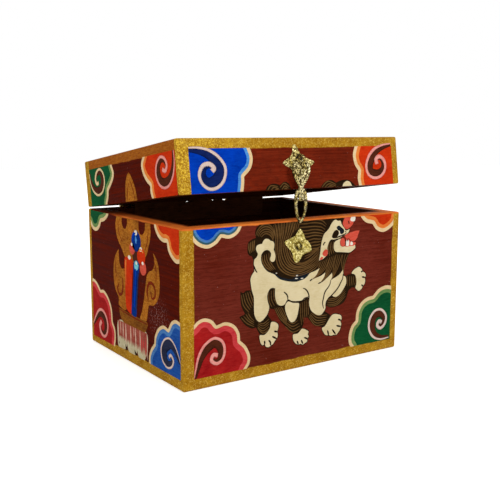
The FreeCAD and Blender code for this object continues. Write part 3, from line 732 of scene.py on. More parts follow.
def cloud(name, side, points, tones, panel=None):
    """A lobed corner cloud: one slab for each tone, drawn further in and a hair higher than the last."""
    outline = sweep(points, True)
    for number, (inset, finish) in enumerate(tones):
        shape = drawn_in(outline, inset) if inset else outline
        patch(f"{side}_{name}_{finish.name}", side, [shape], finish, COAT + COAT * number, panel)


FRONT_CLOUDS = {
    "blue_cloud": (FRONT_BLUES, [(-73, 84), (-71, 79.8), (-67, 75.4), (-61, 73.3), (-55.5, 75.2),
                                 (-52.4, 78.3, SHARP), (-47.5, 77.4), (-42.8, 79.2), (-40.2, 82.4),
                                 (-39.6, 86), (-39.6, 99, SHARP), (-90, 99, SHARP), (-90, 84, SHARP)]),
    "orange_cloud": (REDS, [(43.8, 86), (44.8, 82.8), (48.5, 79.6), (54, 78.2, SHARP), (57.2, 74.6),
                            (62.6, 72.7), (68, 74.3), (72.5, 78), (75, 84), (90, 84, SHARP),
                            (90, 99, SHARP), (43.8, 99, SHARP)]),
    "crimson_cloud": (CRIMSONS, [(-74, 31.5), (-70.5, 33), (-67, 35.8), (-63, 36.8), (-58.5, 35.2),
                                 (-55.6, 31.9, SHARP), (-50, 32.9), (-44.5, 30.6), (-41.3, 26),
                                 (-40.7, 21.4, SHARP), (-36.8, 17.6), (-34.2, 12), (-34.6, 7.5), (-37.5, 3),
                                 (-38, -12, SHARP), (-90, -12, SHARP), (-90, 31, SHARP)]),
    "green_cloud": (GREENS, [(76, 36), (71, 38.6), (66, 39.3), (60.5, 37.8), (56, 34.2, SHARP), (51, 33.6),
                             (46, 30.8), (43, 26), (42.4, 20.6, SHARP), (39.2, 17.8), (37.2, 12), (37.6, 7),
                             (40, 3), (41, -12, SHARP), (90, -12, SHARP), (90, 36, SHARP)]),
}
LID_FRONT_CLOUDS = {
    "blue_cloud": (BLUES, [(-34.2, 112), (-32, 107.6), (-30.6, 102.5), (-32.2, 97), (-36.9, 92.6, SHARP),
                           (-37.1, 89.5), (-38, 85), (-40, 76, SHARP), (-90, 76, SHARP), (-90, 122, SHARP),
                           (-34.2, 122, SHARP)]),
    "orange_cloud": (REDS, [(44, 112), (41.8, 107.4), (40.2, 102.5), (41.2, 97), (43.6, 93.6, SHARP),
                            (42.8, 89), (43.4, 85), (45, 76, SHARP), (90, 76, SHARP), (90, 122, SHARP),
                            (44, 122, SHARP)]),
}
for name, (tones, points) in FRONT_CLOUDS.items():
    cloud(name, "front", points, tones)
for name, (tones, points) in LID_FRONT_CLOUDS.items():
    cloud(name, "lid_front", points, tones)
print("front clouds:", list(FRONT_CLOUDS), "lid:", list(LID_FRONT_CLOUDS))

# %% [markdown]
# The clouds of the ends follow the same plan. Only the left end can be seen in the photograph. A painter
# repeats a side from the same pattern, so the right end gets the left end's drawing turned round. The gold
# strip at the foot sags under the crimson cloud, so that cloud's panel reaches lower than the others do.

# %% Draw the clouds of the two ends
SAGGING_FOOT = 3.0
END_CLOUDS = {
    "red_cloud": (REDS, [(-58, 67), (-54.5, 66), (-51.3, 65.7), (-46.8, 67.6), (-43, 71.2),
                         (-41.7, 75.2, SHARP), (-37.5, 75), (-33, 76.5), (-29.3, 79.8), (-27.3, 84),
                         (-27, 88), (-27, 99, SHARP), (-75, 99, SHARP), (-75, 67, SHARP)]),
    "green_cloud": (GREENS, [(30.2, 86), (31.2, 83), (34, 80.3), (38, 78.3), (42.2, 77.4, SHARP),
                             (45.5, 73), (50.8, 70.9), (56, 72.3), (60, 76), (75, 76, SHARP),
                             (75, 99, SHARP), (30.2, 99, SHARP)]),
    "blue_cloud": (END_BLUES, [(-60, 33.5), (-54.5, 35.2), (-50, 35.7), (-45.5, 33.7), (-41.8, 29, SHARP),
                               (-36.5, 29.8), (-30.5, 26.9), (-26.5, 21.5), (-25.7, 17.3, SHARP),
                               (-21.5, 13), (-19, 8), (-19.2, 4), (-21, -12, SHARP), (-75, -12, SHARP),
                               (-75, 33.5, SHARP)]),
    "crimson_cloud": (CRIMSONS, [(61, 38.5), (56.5, 39.9), (51, 38.4), (45.6, 34.5, SHARP), (40.5, 35.1),
                                 (34, 31.6), (29.8, 25.8), (28.6, 17.8, SHARP), (25.4, 13.5), (24.8, 8.5),
                                 (26, 3.5), (28, -12, SHARP), (75, -12, SHARP), (75, 38.5, SHARP)]),
}
LID_END_CLOUDS = {
    "red_cloud": (REDS, [(-22, 112), (-19.6, 108), (-17, 104.3), (-17.6, 99.8), (-21, 95),
                         (-25.6, 91.6, SHARP), (-25.6, 88), (-26.8, 84.5), (-29, 76, SHARP),
                         (-75, 76, SHARP), (-75, 122, SHARP), (-22, 122, SHARP)]),
    "green_cloud": (GREENS, [(23, 112), (21.2, 107), (19.3, 103), (20.4, 99.6), (24.2, 96),
                             (28.6, 92.8, SHARP), (29.6, 88.8), (32, 85), (34, 76, SHARP), (75, 76, SHARP),
                             (75, 122, SHARP), (23, 122, SHARP)]),
}
sagging_panel = (*PANELS["left"][:2], SAGGING_FOOT, PANELS["left"][3])
for end in ("left", "right"):
    for name, (tones, points) in END_CLOUDS.items():
        cloud(name, end, points, tones, sagging_panel if name == "crimson_cloud" else None)
    for name, (tones, points) in LID_END_CLOUDS.items():
        cloud(name, "lid_" + end, points, tones)
print("end clouds:", list(END_CLOUDS), "lid:", list(LID_END_CLOUDS))

# %% [markdown]
# Each cloud is wound up by one long stroke that ends in a curl, with a dark stroke along its inner side that
# makes it look rounded. The dark stroke is worked out from the light one: the turning of the line says
# which side is the inside, and the line is moved over by half a brush width. A pair of numbers gives the
# widths of the two brushes. On the lid's front the strokes run a little way over the gold strip.

# %% Wind the spirals of the front
USUAL_BRUSHES = (1.6, 4.8)
LID_BRUSHES = {"blue": (1.8, 6.2), "orange": (1.8, 4.8)}
OVER_THE_STRIP = 109.3
SHADE_HEIGHT, SHADE_FLAT = 0.11, 0.02
CURL_HEIGHT, CURL_FLAT = 0.14, 0.08


def spiral(name, side, points, light, dark, brushes=USUAL_BRUSHES, panel=None):
    """A light winding stroke with a dark one along its inner side."""
    width, shade = brushes
    line = sweep(points, False)
    runs = [Vector(b) - Vector(a) for a, b in zip(line, line[1:])]
    runs.append(runs[-1])
    turning = sum(a.x * b.y - a.y * b.x for a, b in zip(runs, runs[1:]))
    inward = 1 if turning > 0 else -1
    light_line, dark_line = [], []
    for number, (place, run) in enumerate(zip(line, runs)):
        t = number / (len(line) - 1)
        along = run.normalized()
        swell = min(1, 0.25 + 2.2 * t) * min(1, 2.2 * (1 - t) + 0.1)
        shift = (width / 2 + swell * shade / 2 - 0.5) * inward
        start, curl = 0.45 + 0.55 * min(1, 4 * t), 1 + 0.6 * max(0, t - 0.75) / 0.25
        light_line.append((*place, width * start * curl))
        dark_line.append((place[0] - along.y * shift, place[1] + along.x * shift, swell * shade))
    brush_lines(f"{side}_{name}_shade", side, [dark_line], dark, SHADE_HEIGHT, SHADE_FLAT, panel)
    brush_lines(f"{side}_{name}_curl", side, [light_line], light, CURL_HEIGHT, CURL_FLAT, panel)


FRONT_SPIRALS = {
    "crimson": (PINK, BROWN_SHADE, [(-69.5, 5.5), (-68.3, 10.5), (-66.6, 16.8), (-63, 22.3), (-57, 25.2),
                                    (-52.2, 22.8), (-50.6, 18), (-52, 13), (-55.6, 11.2), (-58.8, 13.4),
                                    (-57.6, 16.2), (-55, 15.6)]),
    "green": (PALE_PINK, BROWN_SHADE, [(70, 6.2), (63, 6), (57, 8.4), (53.4, 14), (53.8, 20), (58, 24.6),
                                       (63.2, 24.6), (67.2, 20.4), (66.6, 15.6), (63, 13), (60.2, 15),
                                       (61.4, 17.6), (63.8, 16.8)]),
}
LID_FRONT_SPIRALS = {
    "blue": (PALE_PINK, NAVY, [(-70.4, 108.2), (-62.6, 108), (-56.4, 106.3), (-51.2, 102.6), (-48.2, 97.6),
                               (-49.4, 91.6), (-53.4, 87.8), (-58.4, 87), (-62.6, 89.8), (-64, 94.4),
                               (-61.8, 98.8), (-57.8, 99.8), (-55, 97.6), (-56.4, 96)]),
    "orange": (PINK, BROWN_SHADE, [(70.5, 109), (64, 108.2), (57.4, 106), (52.4, 101.6), (50, 96.2),
                                   (51.2, 91.2), (55.6, 88.9), (61, 89.8), (64.8, 93.6), (64.8, 98.4),
                                   (61.4, 101.4), (58.2, 100), (58.6, 97)]),
}
wide_panel = (*PANELS["lid_front"][:3], OVER_THE_STRIP)
for name, (light, dark, points) in FRONT_SPIRALS.items():
    spiral(name, "front", points, light, dark)
for name, (light, dark, points) in LID_FRONT_SPIRALS.items():
    spiral(name, "lid_front", points, light, dark, LID_BRUSHES[name], wide_panel)
print("front spirals:", list(FRONT_SPIRALS), list(LID_FRONT_SPIRALS))

# %% [markdown]
# The ends have spirals of the same kind. Here the painter took a fine light brush and a broad dark one for
# the blue cloud, and a broader light brush for the crimson one.

# %% Wind the spirals of the two ends
END_BRUSHES = {"blue": (1.15, 6.4), "crimson": (1.9, 4.8)}
LID_END_BRUSHES = (1.5, 4.8)
END_SPIRALS = {
    "blue": (PALE_PINK, NIGHT_BLUE, [(-55, 13.4), (-52.6, 17.6), (-48.4, 22.2), (-43.4, 24.2), (-37.4, 22),
                                     (-33.8, 16.6), (-35, 10.6), (-40, 7.6), (-45.2, 9), (-47.4, 12.8),
                                     (-44.6, 15.4), (-42.6, 13.8)]),
    "crimson": (PINK, BROWN_SHADE, [(57.8, 11), (53.6, 16.4), (49, 20.8), (43.6, 22), (38.2, 19.2),
                                    (35.8, 14), (37.6, 8.2), (41.8, 5.6), (46.4, 7.4), (47.8, 11.4),
                                    (45.2, 14.6)]),
}
LID_END_SPIRALS = {
    "red": (PINK, BROWN_SHADE, [(-54, 107.6), (-54.2, 102), (-52.2, 95.6), (-47.6, 90.8), (-42, 89.4),
                                (-36.4, 91.6), (-33.6, 96.6), (-34.8, 102), (-39, 105.4), (-43.6, 104.6),
                                (-46, 101), (-44, 98), (-41, 99)]),
    "green": (CREAM, BROWN_SHADE, [(55, 105), (54, 99), (50.4, 94), (44, 91.2), (37.4, 92.6), (33.4, 97.4),
                                   (33.8, 102.8), (38.4, 106.4), (43.8, 105), (46.2, 101), (44.6, 98),
                                   (41.8, 98.6)]),
}
for end in ("left", "right"):
    for name, (light, dark, points) in END_SPIRALS.items():
        spiral(name, end, points, light, dark, END_BRUSHES[name])
    for name, (light, dark, points) in LID_END_SPIRALS.items():
        spiral(name, "lid_" + end, points, light, dark, LID_END_BRUSHES)
print("end spirals:", list(END_SPIRALS), list(LID_END_SPIRALS))

# %% [markdown]
# The snow lion is the picture on the front: an ivory body with a curled tail, a brown mane that flows down
# from the lid, tufts at the legs and an open red mouth. It is a traditional figure, and this is a drawing
# of its own in the same layout. The painter worked from dark to light, and so does the lesson: first
# the brown hair, then the ivory body over it, then lines and features.

# %% Lay in the brown hair
MANE = sweep([(-27, 84.5, SHARP), (-30.4, 81.6), (-31.2, 79), (-30.6, 76.4, SHARP), (-33.2, 75.8),
              (-35.6, 74.2), (-36.1, 71.2), (-35.9, 68.6), (-34.6, 67, SHARP), (-33.4, 66.8),
              (-32.6, 65.2, SHARP), (-29, 60), (-24, 56), (-18, 53), (-8, 49), (0, 48.4), (9, 47), (20, 46),
              (31.6, 51, SHARP), (32.2, 54.4), (33.8, 57.4), (35.2, 60.4), (36.6, 62.6, SHARP), (30, 66),
              (30, 74), (31.4, 80), (30.8, 84.5, SHARP)],
             True)
HIND_TUFT = sweep([(-31, 48.4), (-33.6, 48.2), (-36.9, 48.4), (-38.6, 47.4), (-40.6, 48.2, SHARP),
                   (-40.5, 44.3), (-40.1, 40.7), (-38.6, 37.5), (-37.6, 35.6, SHARP), (-41.3, 34.5, SHARP),
                   (-40, 32.6), (-37.9, 30), (-35.6, 28.2), (-32.9, 26.9), (-30.3, 27.2, SHARP),
                   (-29.4, 25.4), (-27.6, 22.9), (-25, 22), (-22, 23.4), (-20, 26.8), (-19.6, 29.2, SHARP),
                   (-22, 32.6), (-24, 36), (-30, 40)], True)
MIDDLE_TUFT = sweep([(-23, 44), (-22, 48), (-17.4, 48), (-15, 40), (-9, 39), (-1, 38.4), (6.4, 40.2, SHARP),
                     (7, 35), (8.6, 31.6), (12.6, 29), (17.6, 30.2, SHARP), (20.8, 27.9, SHARP),
                     (22.4, 26.6), (21, 24), (18.8, 21.7), (16.6, 20.6), (13.9, 21.3), (10.3, 22.5),
                     (7.6, 25.2), (5.6, 27.6, SHARP), (2.6, 28.2, SHARP), (2.6, 24.4), (0.6, 21),
                     (-1.6, 19.5), (-4.6, 20), (-8, 22.8), (-11.2, 25.6), (-13.8, 28.4), (-15.6, 31.2),
                     (-18.2, 35.8, SHARP), (-20.6, 36.4), (-22, 39)], True)
FORE_TUFT = sweep([(18.6, 33.6), (18.9, 36.2), (23, 38.8), (29, 38.6), (33.4, 43.4), (33.8, 48.2),
                   (34.8, 49.2), (38.2, 49.5), (40.6, 49.2), (42, 47), (42.3, 43.4), (41.2, 41.2),
                   (38.8, 41.4, SHARP), (36.2, 39.8), (34.8, 36.2), (32.4, 33), (28, 31.6), (23, 31.3),
                   (20.2, 32.2)], True)
patch("lion_mane", "front", [MANE], HAIR_BROWN, COAT)
patch("lion_tufts", "front", [HIND_TUFT, MIDDLE_TUFT, FORE_TUFT], HAIR_BROWN, COAT)
print("mane and tufts:", len(MANE), len(HIND_TUFT) + len(MIDDLE_TUFT) + len(FORE_TUFT), "points")

# %% [markdown]
# The hair is combed with long paler strokes that leave the dark brown between them. The mane falls from the
# lid, flows round the star and swings up to the face; the tufts curl to a point. A painter sets the first
# and the last stroke of a lock and fills in between them, and so does a small function here. Each stroke
# swells and thins out, and a little seeded chance keeps them from looking ruled.

# %% Comb the mane
HAIR_HEIGHT, HAIR_FLAT = 0.045, 0.1
chance = random.Random(7)


def tapered(line, width):
    """A stroke that swells from a thin start and ends thin."""
    count = len(line) - 1
    return [(x, y, width * (0.35 + 0.65 * math.sin(math.pi * min(1, max(0, i / count))) ** 0.5))
            for i, (x, y) in enumerate(line)]


def lock(first, last, count, stray=0.12):
    """Strokes that pass in even steps from one drawn stroke to another, each a little astray."""
    hairs = []
    for k in range(count):
        line = [Vector(a).lerp(Vector(b), k / (count - 1)) for a, b in zip(first, last)]
        hairs.append([(p.x + chance.uniform(-stray, stray), p.y + chance.uniform(-stray, stray))
                      for p in line])
    return hairs


def combed(hairs, width):
    """Smooth tapered strokes for a set of hairs."""
    return [tapered(line, width) for line in swept_strokes(hairs)]


mane_locks = (
    lock([(-30.8, 77.6), (-29.6, 80.4), (-26.8, 82.8), (-22.8, 83.2), (-19.6, 81), (-17.8, 77)],
         [(-27.2, 76.6), (-26.2, 77.6), (-24, 78.2), (-21.6, 77.4), (-20, 75.8), (-19.2, 73.8)], 5)
    + lock([(-35.2, 74), (-35.3, 71.4), (-34.4, 68.2)], [(-31.4, 75.2), (-31.8, 72), (-31.6, 69.4)], 4)
    + lock([(-26.6, 66.4), (-26, 63), (-23.8, 59.8), (-20.6, 57.6)],
           [(-22, 67.4), (-21.9, 64.4), (-20.4, 61.4), (-17.6, 58)], 4)
    + lock([(-19.2, 82.4), (-17.8, 76), (-17.3, 70), (-17, 64), (-15, 59), (-10.6, 55.2), (-4, 53),
            (3, 53.4), (9.4, 55.2), (14, 58)],
           [(-4, 84), (-6, 78), (-8.6, 72), (-7.4, 66), (-4.4, 61.6), (-0.6, 59.8), (3, 60), (6.6, 61.4),
            (10.2, 63.6), (13.6, 66.4)], 8, 0.2)
    + lock([(-18.2, 83.4), (-17, 79), (-16.6, 74.6)], [(-5.2, 84), (-6.9, 79.6), (-9, 75)], 7)
    + lock([(-3.6, 84), (-4.8, 80.4), (-5.4, 77.4)], [(-1.2, 83), (-1.8, 81), (-2.4, 79.2)], 3)
    + lock([(-2.4, 83.8), (3, 83.4), (9, 83.6), (15, 82.6), (18.4, 80.4)],
           [(3.4, 67), (6.4, 66.8), (9, 67.2), (11.6, 67.4), (14, 68)], 10, 0.2)
    + lock([(3, 65.2), (6, 65.2), (9, 66), (12.8, 67)], [(2.4, 61.6), (6, 62.8), (9, 64.4), (12.8, 66.4)], 3)
    + lock([(20.4, 70.2), (20.2, 66), (21.2, 62)], [(23.8, 70), (23.4, 66), (24.2, 63)], 3)
)
brush_lines("lion_mane_strokes", "front", combed(mane_locks, 0.76), HAIR_LINE, HAIR_HEIGHT, HAIR_FLAT)
print("mane strokes:", len(mane_locks))

# %% [markdown]
# The beard hangs below the face in pointed locks, and the tufts at the legs curl round their ends. They are
# combed with the same function, only with a finer brush.

# %% Comb the beard and the tufts
tuft_locks = (
    lock([(-40, 46.4), (-38.6, 40.6), (-35, 36.2)], [(-34.6, 47.8), (-33.2, 44.4), (-32, 40.6)], 5)
    + lock([(-40.2, 34.2), (-36.4, 30.4), (-31.4, 27.8)], [(-35.6, 36), (-33.8, 33.2), (-31.6, 31)], 4)
    + lock([(-29.4, 26.8), (-25.6, 23.2), (-21.2, 25)], [(-29, 30), (-25.6, 28.6), (-21.6, 30.6)], 5)
    + lock([(-21.8, 46), (-21.6, 41), (-19.6, 37)], [(-18.6, 47), (-18.4, 42), (-16.4, 38)], 3)
    + lock([(-18, 36.6), (-14.6, 30.6), (-9, 25)], [(-13.4, 36.4), (-11.4, 33), (-9.2, 28.4)], 5)
    + lock([(-10.4, 25), (-5, 20.8), (1, 22)], [(-8.6, 27.4), (-5, 25.8), (-1.6, 27)], 4)
    + lock([(0.2, 36.6), (0.2, 31), (1.2, 24)], [(5.8, 38.6), (5.8, 33.4), (6.2, 29)], 5)
    + lock([(6.4, 28), (11.4, 22.4), (18.6, 22.2)], [(8.4, 30.6), (13, 28), (20.2, 27.2)], 5)
    + lock([(19.8, 32.6), (27, 32.2), (34, 37)], [(20, 36.4), (26.6, 36.8), (33.4, 42.4)], 5)
    + lock([(35, 48.6), (35, 45.4), (35.2, 42.4)], [(41.2, 48), (41.4, 45.4), (40.8, 42.4)], 5)
    + lock([(14.8, 59.4), (13.6, 56.6), (10.8, 52.2), (7.8, 49.5)],
           [(21, 61), (18, 55), (13, 51.2), (8, 49.3)], 5)
    + lock([(21.4, 61.4), (19, 55), (17, 50), (14.8, 47.4)],
           [(25.4, 62), (22.8, 54.6), (18.8, 49.6), (15, 47.3)], 4)
    + lock([(26, 62.4), (24.2, 55.4), (23.4, 50), (22.6, 48)],
           [(30.4, 62), (28, 55.4), (24.8, 50.2), (22.8, 48)], 4)
    + lock([(31, 62), (30.2, 57), (31, 52.8), (31.7, 50)],
           [(35.2, 61.6), (33, 57), (32, 53), (31.9, 50)], 3)
)
brush_lines("lion_tuft_strokes", "front", combed(tuft_locks, 0.58), HAIR_LINE, HAIR_HEIGHT, HAIR_FLAT)
print("beard and tuft strokes:", len(tuft_locks))

# %% [markdown]
# The body is one ivory shape from the curl of the tail to the raised foreleg, with pointed locks on the
# chest. The paws are separate shapes below the tufts. All are drawn over the brown and a hair higher.

# %% Paint the body and the paws
BODY = sweep([
    (-34.1, 54), (-33.6, 55.6), (-32.7, 57.1), (-31.6, 58.3, SHARP), (-31.7, 61), (-31.9, 62.8),
    (-31.5, 64.8), (-30.2, 65.7, SHARP), (-29.3, 67.6), (-30.2, 69.2, SHARP), (-30.6, 70.6), (-30, 72.1),
    (-28.6, 72.7), (-26.6, 72.9, SHARP), (-25.9, 74.2), (-24.7, 75.3), (-23.3, 75.4), (-22, 74.9),
    (-20.9, 74, SHARP), (-19.5, 73.7), (-18.6, 72.6), (-18.5, 70.6), (-18.9, 69.2, SHARP), (-18.1, 67.4),
    (-17.7, 65.3), (-18, 63.2), (-19.2, 62.3), (-20.6, 62.8), (-21.2, 64.2), (-20.7, 65.8), (-20.6, 67.1),
    (-21.5, 68.5), (-23.1, 69.3), (-25.2, 68.9), (-26.8, 67.4), (-27.3, 65.3), (-27, 63.1), (-26.3, 61.4),
    (-24.5, 58.9), (-22.7, 57.3), (-20.9, 56.4), (-18.5, 55.4), (-14.9, 52.4), (-11.3, 51), (-7.7, 50.1),
    (-3.4, 49.5), (0.1, 49.9), (3, 50.6), (5.1, 51.8), (6.7, 53.3), (10.3, 54.2), (13.6, 55.4, SHARP),
    (11.2, 51.6), (7.1, 49, SHARP), (11, 50.1), (14.9, 51), (18, 52.5, SHARP), (17.1, 49.9),
    (14.2, 46.8, SHARP), (16, 47.2), (18.9, 48.9), (21, 50.3), (23, 51.8, SHARP), (23.3, 49.9),
    (22.3, 47.5, SHARP), (24.2, 48.3), (26.7, 49.2), (29.2, 50.6), (31.4, 52.7, SHARP), (31.7, 50.5),
    (31.8, 49, SHARP), (32.8, 48.8), (33.9, 47.6), (34.1, 44.5), (33.1, 42.6), (31, 39.9), (28.9, 38.1),
    (26.7, 37.2), (24.6, 37.6), (23.1, 38.4), (20.3, 37), (18.9, 35.3), (18.5, 33.5), (18.5, 31.4),
    (17.4, 29.6), (15.3, 28), (12.8, 28.2), (10.3, 29.6), (8.1, 31.4), (6.9, 33.9), (6.5, 36),
    (6.2, 39.4, SHARP), (4, 39.2), (2, 38.2), (-2, 38), (-6, 38.6), (-8.9, 39.8, SHARP), (-9.7, 38.6),
    (-11.5, 37.3), (-13.6, 37.1), (-15.8, 38.2), (-17, 40.4), (-17.6, 42.9), (-17.7, 45.4),
    (-17.6, 47.3, SHARP), (-19, 47.9), (-20.8, 47.7), (-22, 46.4), (-22.9, 44.3), (-22.9, 42.1),
    (-22.4, 40), (-21.6, 37.7), (-21.9, 35.7), (-22.9, 33.4), (-24.4, 31.8), (-26.1, 30.5), (-27.9, 29.9),
    (-29.7, 31.1), (-30.8, 32.9), (-31.5, 35), (-31.7, 38.2), (-31.7, 41.4), (-31.9, 44.3), (-32.6, 46.4),
    (-33.3, 48.6), (-33.7, 51)], True)
FAR_LEG = sweep([(-10.4, 37.2), (-10.6, 35), (-9.9, 32.5), (-8.8, 30), (-7.6, 27.9), (-6.1, 26.6),
                 (-4.4, 26.7), (-2.9, 27.9), (-1.9, 30), (-1.3, 32.5), (-0.8, 35), (-0.9, 36.8),
                 (-2.9, 37.3), (-5.4, 37.7), (-8.6, 38.9)], True)
PAWS = swept_shapes([
    [(-20.1, 28.6), (-18.3, 28.6), (-16.5, 27.7), (-15.3, 26.4), (-15.4, 24.3), (-16.1, 22.6, SHARP),
     (-15.6, 21), (-15.9, 19.4), (-17.6, 17.6, SHARP), (-18.6, 16.2), (-20.2, 15.3, SHARP), (-22.2, 14.7),
     (-23.8, 15.5), (-24.5, 17.1, SHARP), (-25.8, 16.4), (-27, 17.6), (-27.7, 19.6), (-27.8, 22.3),
     (-24.7, 22.1), (-22.9, 23.2), (-21.1, 25.2)],
    [(0.3, 20.7), (1.5, 21.7), (3.1, 21.4), (4.9, 20.4), (6.3, 19.4), (5.8, 17.8, SHARP), (6.5, 16.4),
     (5.2, 15.2, SHARP), (5.4, 13.7), (3.9, 13, SHARP), (2.2, 12.3), (0.8, 13.1, SHARP), (-0.8, 12.9),
     (-2.6, 13.6), (-4.4, 15.7), (-4.9, 17.9), (-4.6, 19.3), (-1.5, 19.4)],
    [(23.9, 26.7), (25.6, 27), (28.1, 26.5), (30.5, 25.5), (31.2, 23.5), (30.3, 21.8, SHARP), (31, 20.4),
     (30.6, 18.8, SHARP), (30, 16.8), (28.4, 15, SHARP), (27, 14.2), (25.4, 14.5, SHARP), (23.4, 14.3),
     (21.6, 14.9, SHARP), (19.2, 15.3), (17.4, 17.4), (16.3, 19.9), (18.1, 20.5), (19.9, 22.3),
     (21.7, 24.7)],
    [(38.3, 49.9), (39.4, 51.4), (41.4, 52.5), (43.9, 53.2), (45.5, 52.3), (46.6, 51), (46.1, 50, SHARP),
     (47.6, 49.8), (49, 48.8), (49.5, 47.1), (48.6, 46.2, SHARP), (49.2, 44.6), (48.7, 42.4),
     (47.4, 41.2, SHARP), (46.4, 39.6), (44.2, 38.6), (42.8, 39.5), (41.5, 41), (42.1, 42.5), (42.2, 45.3),
     (41.5, 47.8), (40.4, 49.1)]])
patch("lion_body", "front", [BODY], IVORY, 0.08)
patch("lion_paws", "front", PAWS + [FAR_LEG], IVORY, 0.07)
print("body outline:", len(BODY), "points;", len(PAWS), "paws")

# %% [markdown]
# The head is built up like the rest: an ink outline, an ivory face and lower jaw, red nose, tongue and
# cheek, then teeth and the dark patch of the eye. It is the usual fierce and friendly lion of such boxes,
# with its mouth wide open. Each part's last number is its height above the wood in millimetres, so that
# what was painted later lies on top.

# %% Paint the head
INK_WIDTH = 0.45
CORAL = painted("coral_red", (180, 54, 40), (206, 76, 58), (222, 112, 92))
BLUE_BLACK = painted("blue_black", (12, 14, 18), (20, 24, 30), (52, 62, 72), 0.3)
TOOTH = painted("tooth_white", (214, 206, 190), (228, 222, 206), (238, 232, 220))
FACE = sweep([(13.2, 60, SHARP), (13.8, 63.1), (14.2, 66), (14.6, 69.2), (15.4, 72.1), (16.6, 74.9),
              (18.8, 76.6), (20.2, 77.9), (21.5, 80), (23.4, 82), (25.2, 82.6), (26.6, 81.8), (28.6, 81.8),
              (29.4, 80.2), (30.2, 78.9), (31.6, 77.4), (32.7, 75.9), (34, 75.8), (35.8, 76.4, SHARP),
              (35.2, 74.9), (33.4, 73.5), (31.3, 73), (29.1, 72.2), (27.7, 71.6), (26, 71.4), (24, 71.2),
              (22, 71.3), (20.6, 70.3), (19.5, 68.1), (19.2, 66), (19.6, 63.4), (17.7, 61.6),
              (15.5, 60.4)], True)
JAW = sweep([(29.3, 71.2), (26.6, 70.6), (24.9, 69.9), (24.1, 68.5), (24.2, 65.6), (25.6, 63.9),
             (28.4, 63.5), (32.5, 63), (36.3, 62.6), (38.6, 63.5), (40.6, 65), (40.3, 66.7, SHARP),
             (37, 66.5), (33.4, 66.7), (30.6, 66.4), (29, 67.4), (28.6, 69.9)], True)
REDS_OF_FACE = swept_shapes([
    [(30.5, 79.8), (31.2, 82), (32.4, 83.4), (36, 83.4), (37, 81.6), (38.7, 80.2), (37.2, 78.2),
     (34.2, 76.6), (32.2, 77.2)],
    [(32.2, 72.7), (35, 74), (37.7, 74.5), (41, 75.1), (43.6, 75, SHARP), (42.6, 72.8), (41.7, 70.6),
     (39.6, 69.1), (37, 69.4), (35.8, 70.8), (33.4, 71.2)],
    [(28.9, 70.6), (29.2, 67.6), (30.6, 66.5), (32.2, 67.1), (32.2, 70.6), (30.6, 71.5)],
    [(32.7, 66.4), (36, 66.3), (39.9, 66.5), (40.8, 68), (39, 68.5), (36.6, 69.1), (35.6, 70.4),
     (33.2, 70.8)],
    [(15.6, 63.4), (15.9, 64.5), (18.1, 66.1), (19.5, 65), (19.2, 62.6), (17.7, 61.9), (16.4, 62.4)],
    [(13.6, 60.4), (14.8, 61.8), (16.4, 61.5), (15.4, 60.4)]])
TEETH = swept_shapes([
    [(33.2, 66.8), (35.5, 66.7), (35.6, 69.4), (34.6, 70.3), (33.5, 69.6)],
    [(36.7, 66.9), (38.6, 67), (38.3, 68.5), (37, 68.9)],
    [(36.2, 81.6), (37.1, 83.5), (39.9, 83.5), (39.8, 81.2), (38.3, 80.7)]])
EYE_PATCH = sweep([(25.8, 78.2), (27.6, 79), (29.6, 77.8), (31.5, 76.3), (31.5, 74.8), (30, 73.9),
                   (28.6, 74.5), (28.3, 75.8), (26.8, 76.6)], True)
BROW = sweep([(22.6, 73.6), (23.5, 75.3), (25.6, 76.7), (27.2, 76), (27.7, 74.4), (26.4, 72.7), (24.4, 72),
              (22.6, 72.5)], True)
HEAD = {
    "head_outline": ([drawn_in(FACE, -INK_WIDTH), drawn_in(JAW, -INK_WIDTH)], INK, 0.06),
    "face": ([FACE], IVORY, 0.08), "jaw": ([JAW], IVORY, 0.085), "reds": (REDS_OF_FACE, CORAL, 0.1),
    "teeth": (TEETH, TOOTH, 0.11), "brow": ([BROW], HAIR_BROWN, 0.1),
    "eye_patch": ([EYE_PATCH], BLUE_BLACK, 0.11),
}
for name, (outlines, finish, height) in HEAD.items():
    patch("lion_" + name, "front", outlines, finish, height)
print("head painted from", len(FACE) + len(JAW), "outline points")

# %% [markdown]
# Last come the ink lines with the point of the brush: an outline round each ivory shape, the folds of the
# belly and the legs, the claws, and the lines that shape the muzzle. The outline is a copy of the shape
# drawn a little outwards and laid under it.

# %% Draw the ink lines
PEN_HEIGHT, PEN_FLAT = 0.1, 0.12


def pen_lines(lines, width):
    """Fine tapered strokes, drawn with short steps."""
    return [tapered(line, width) for line in swept_strokes(lines, 0.4)]


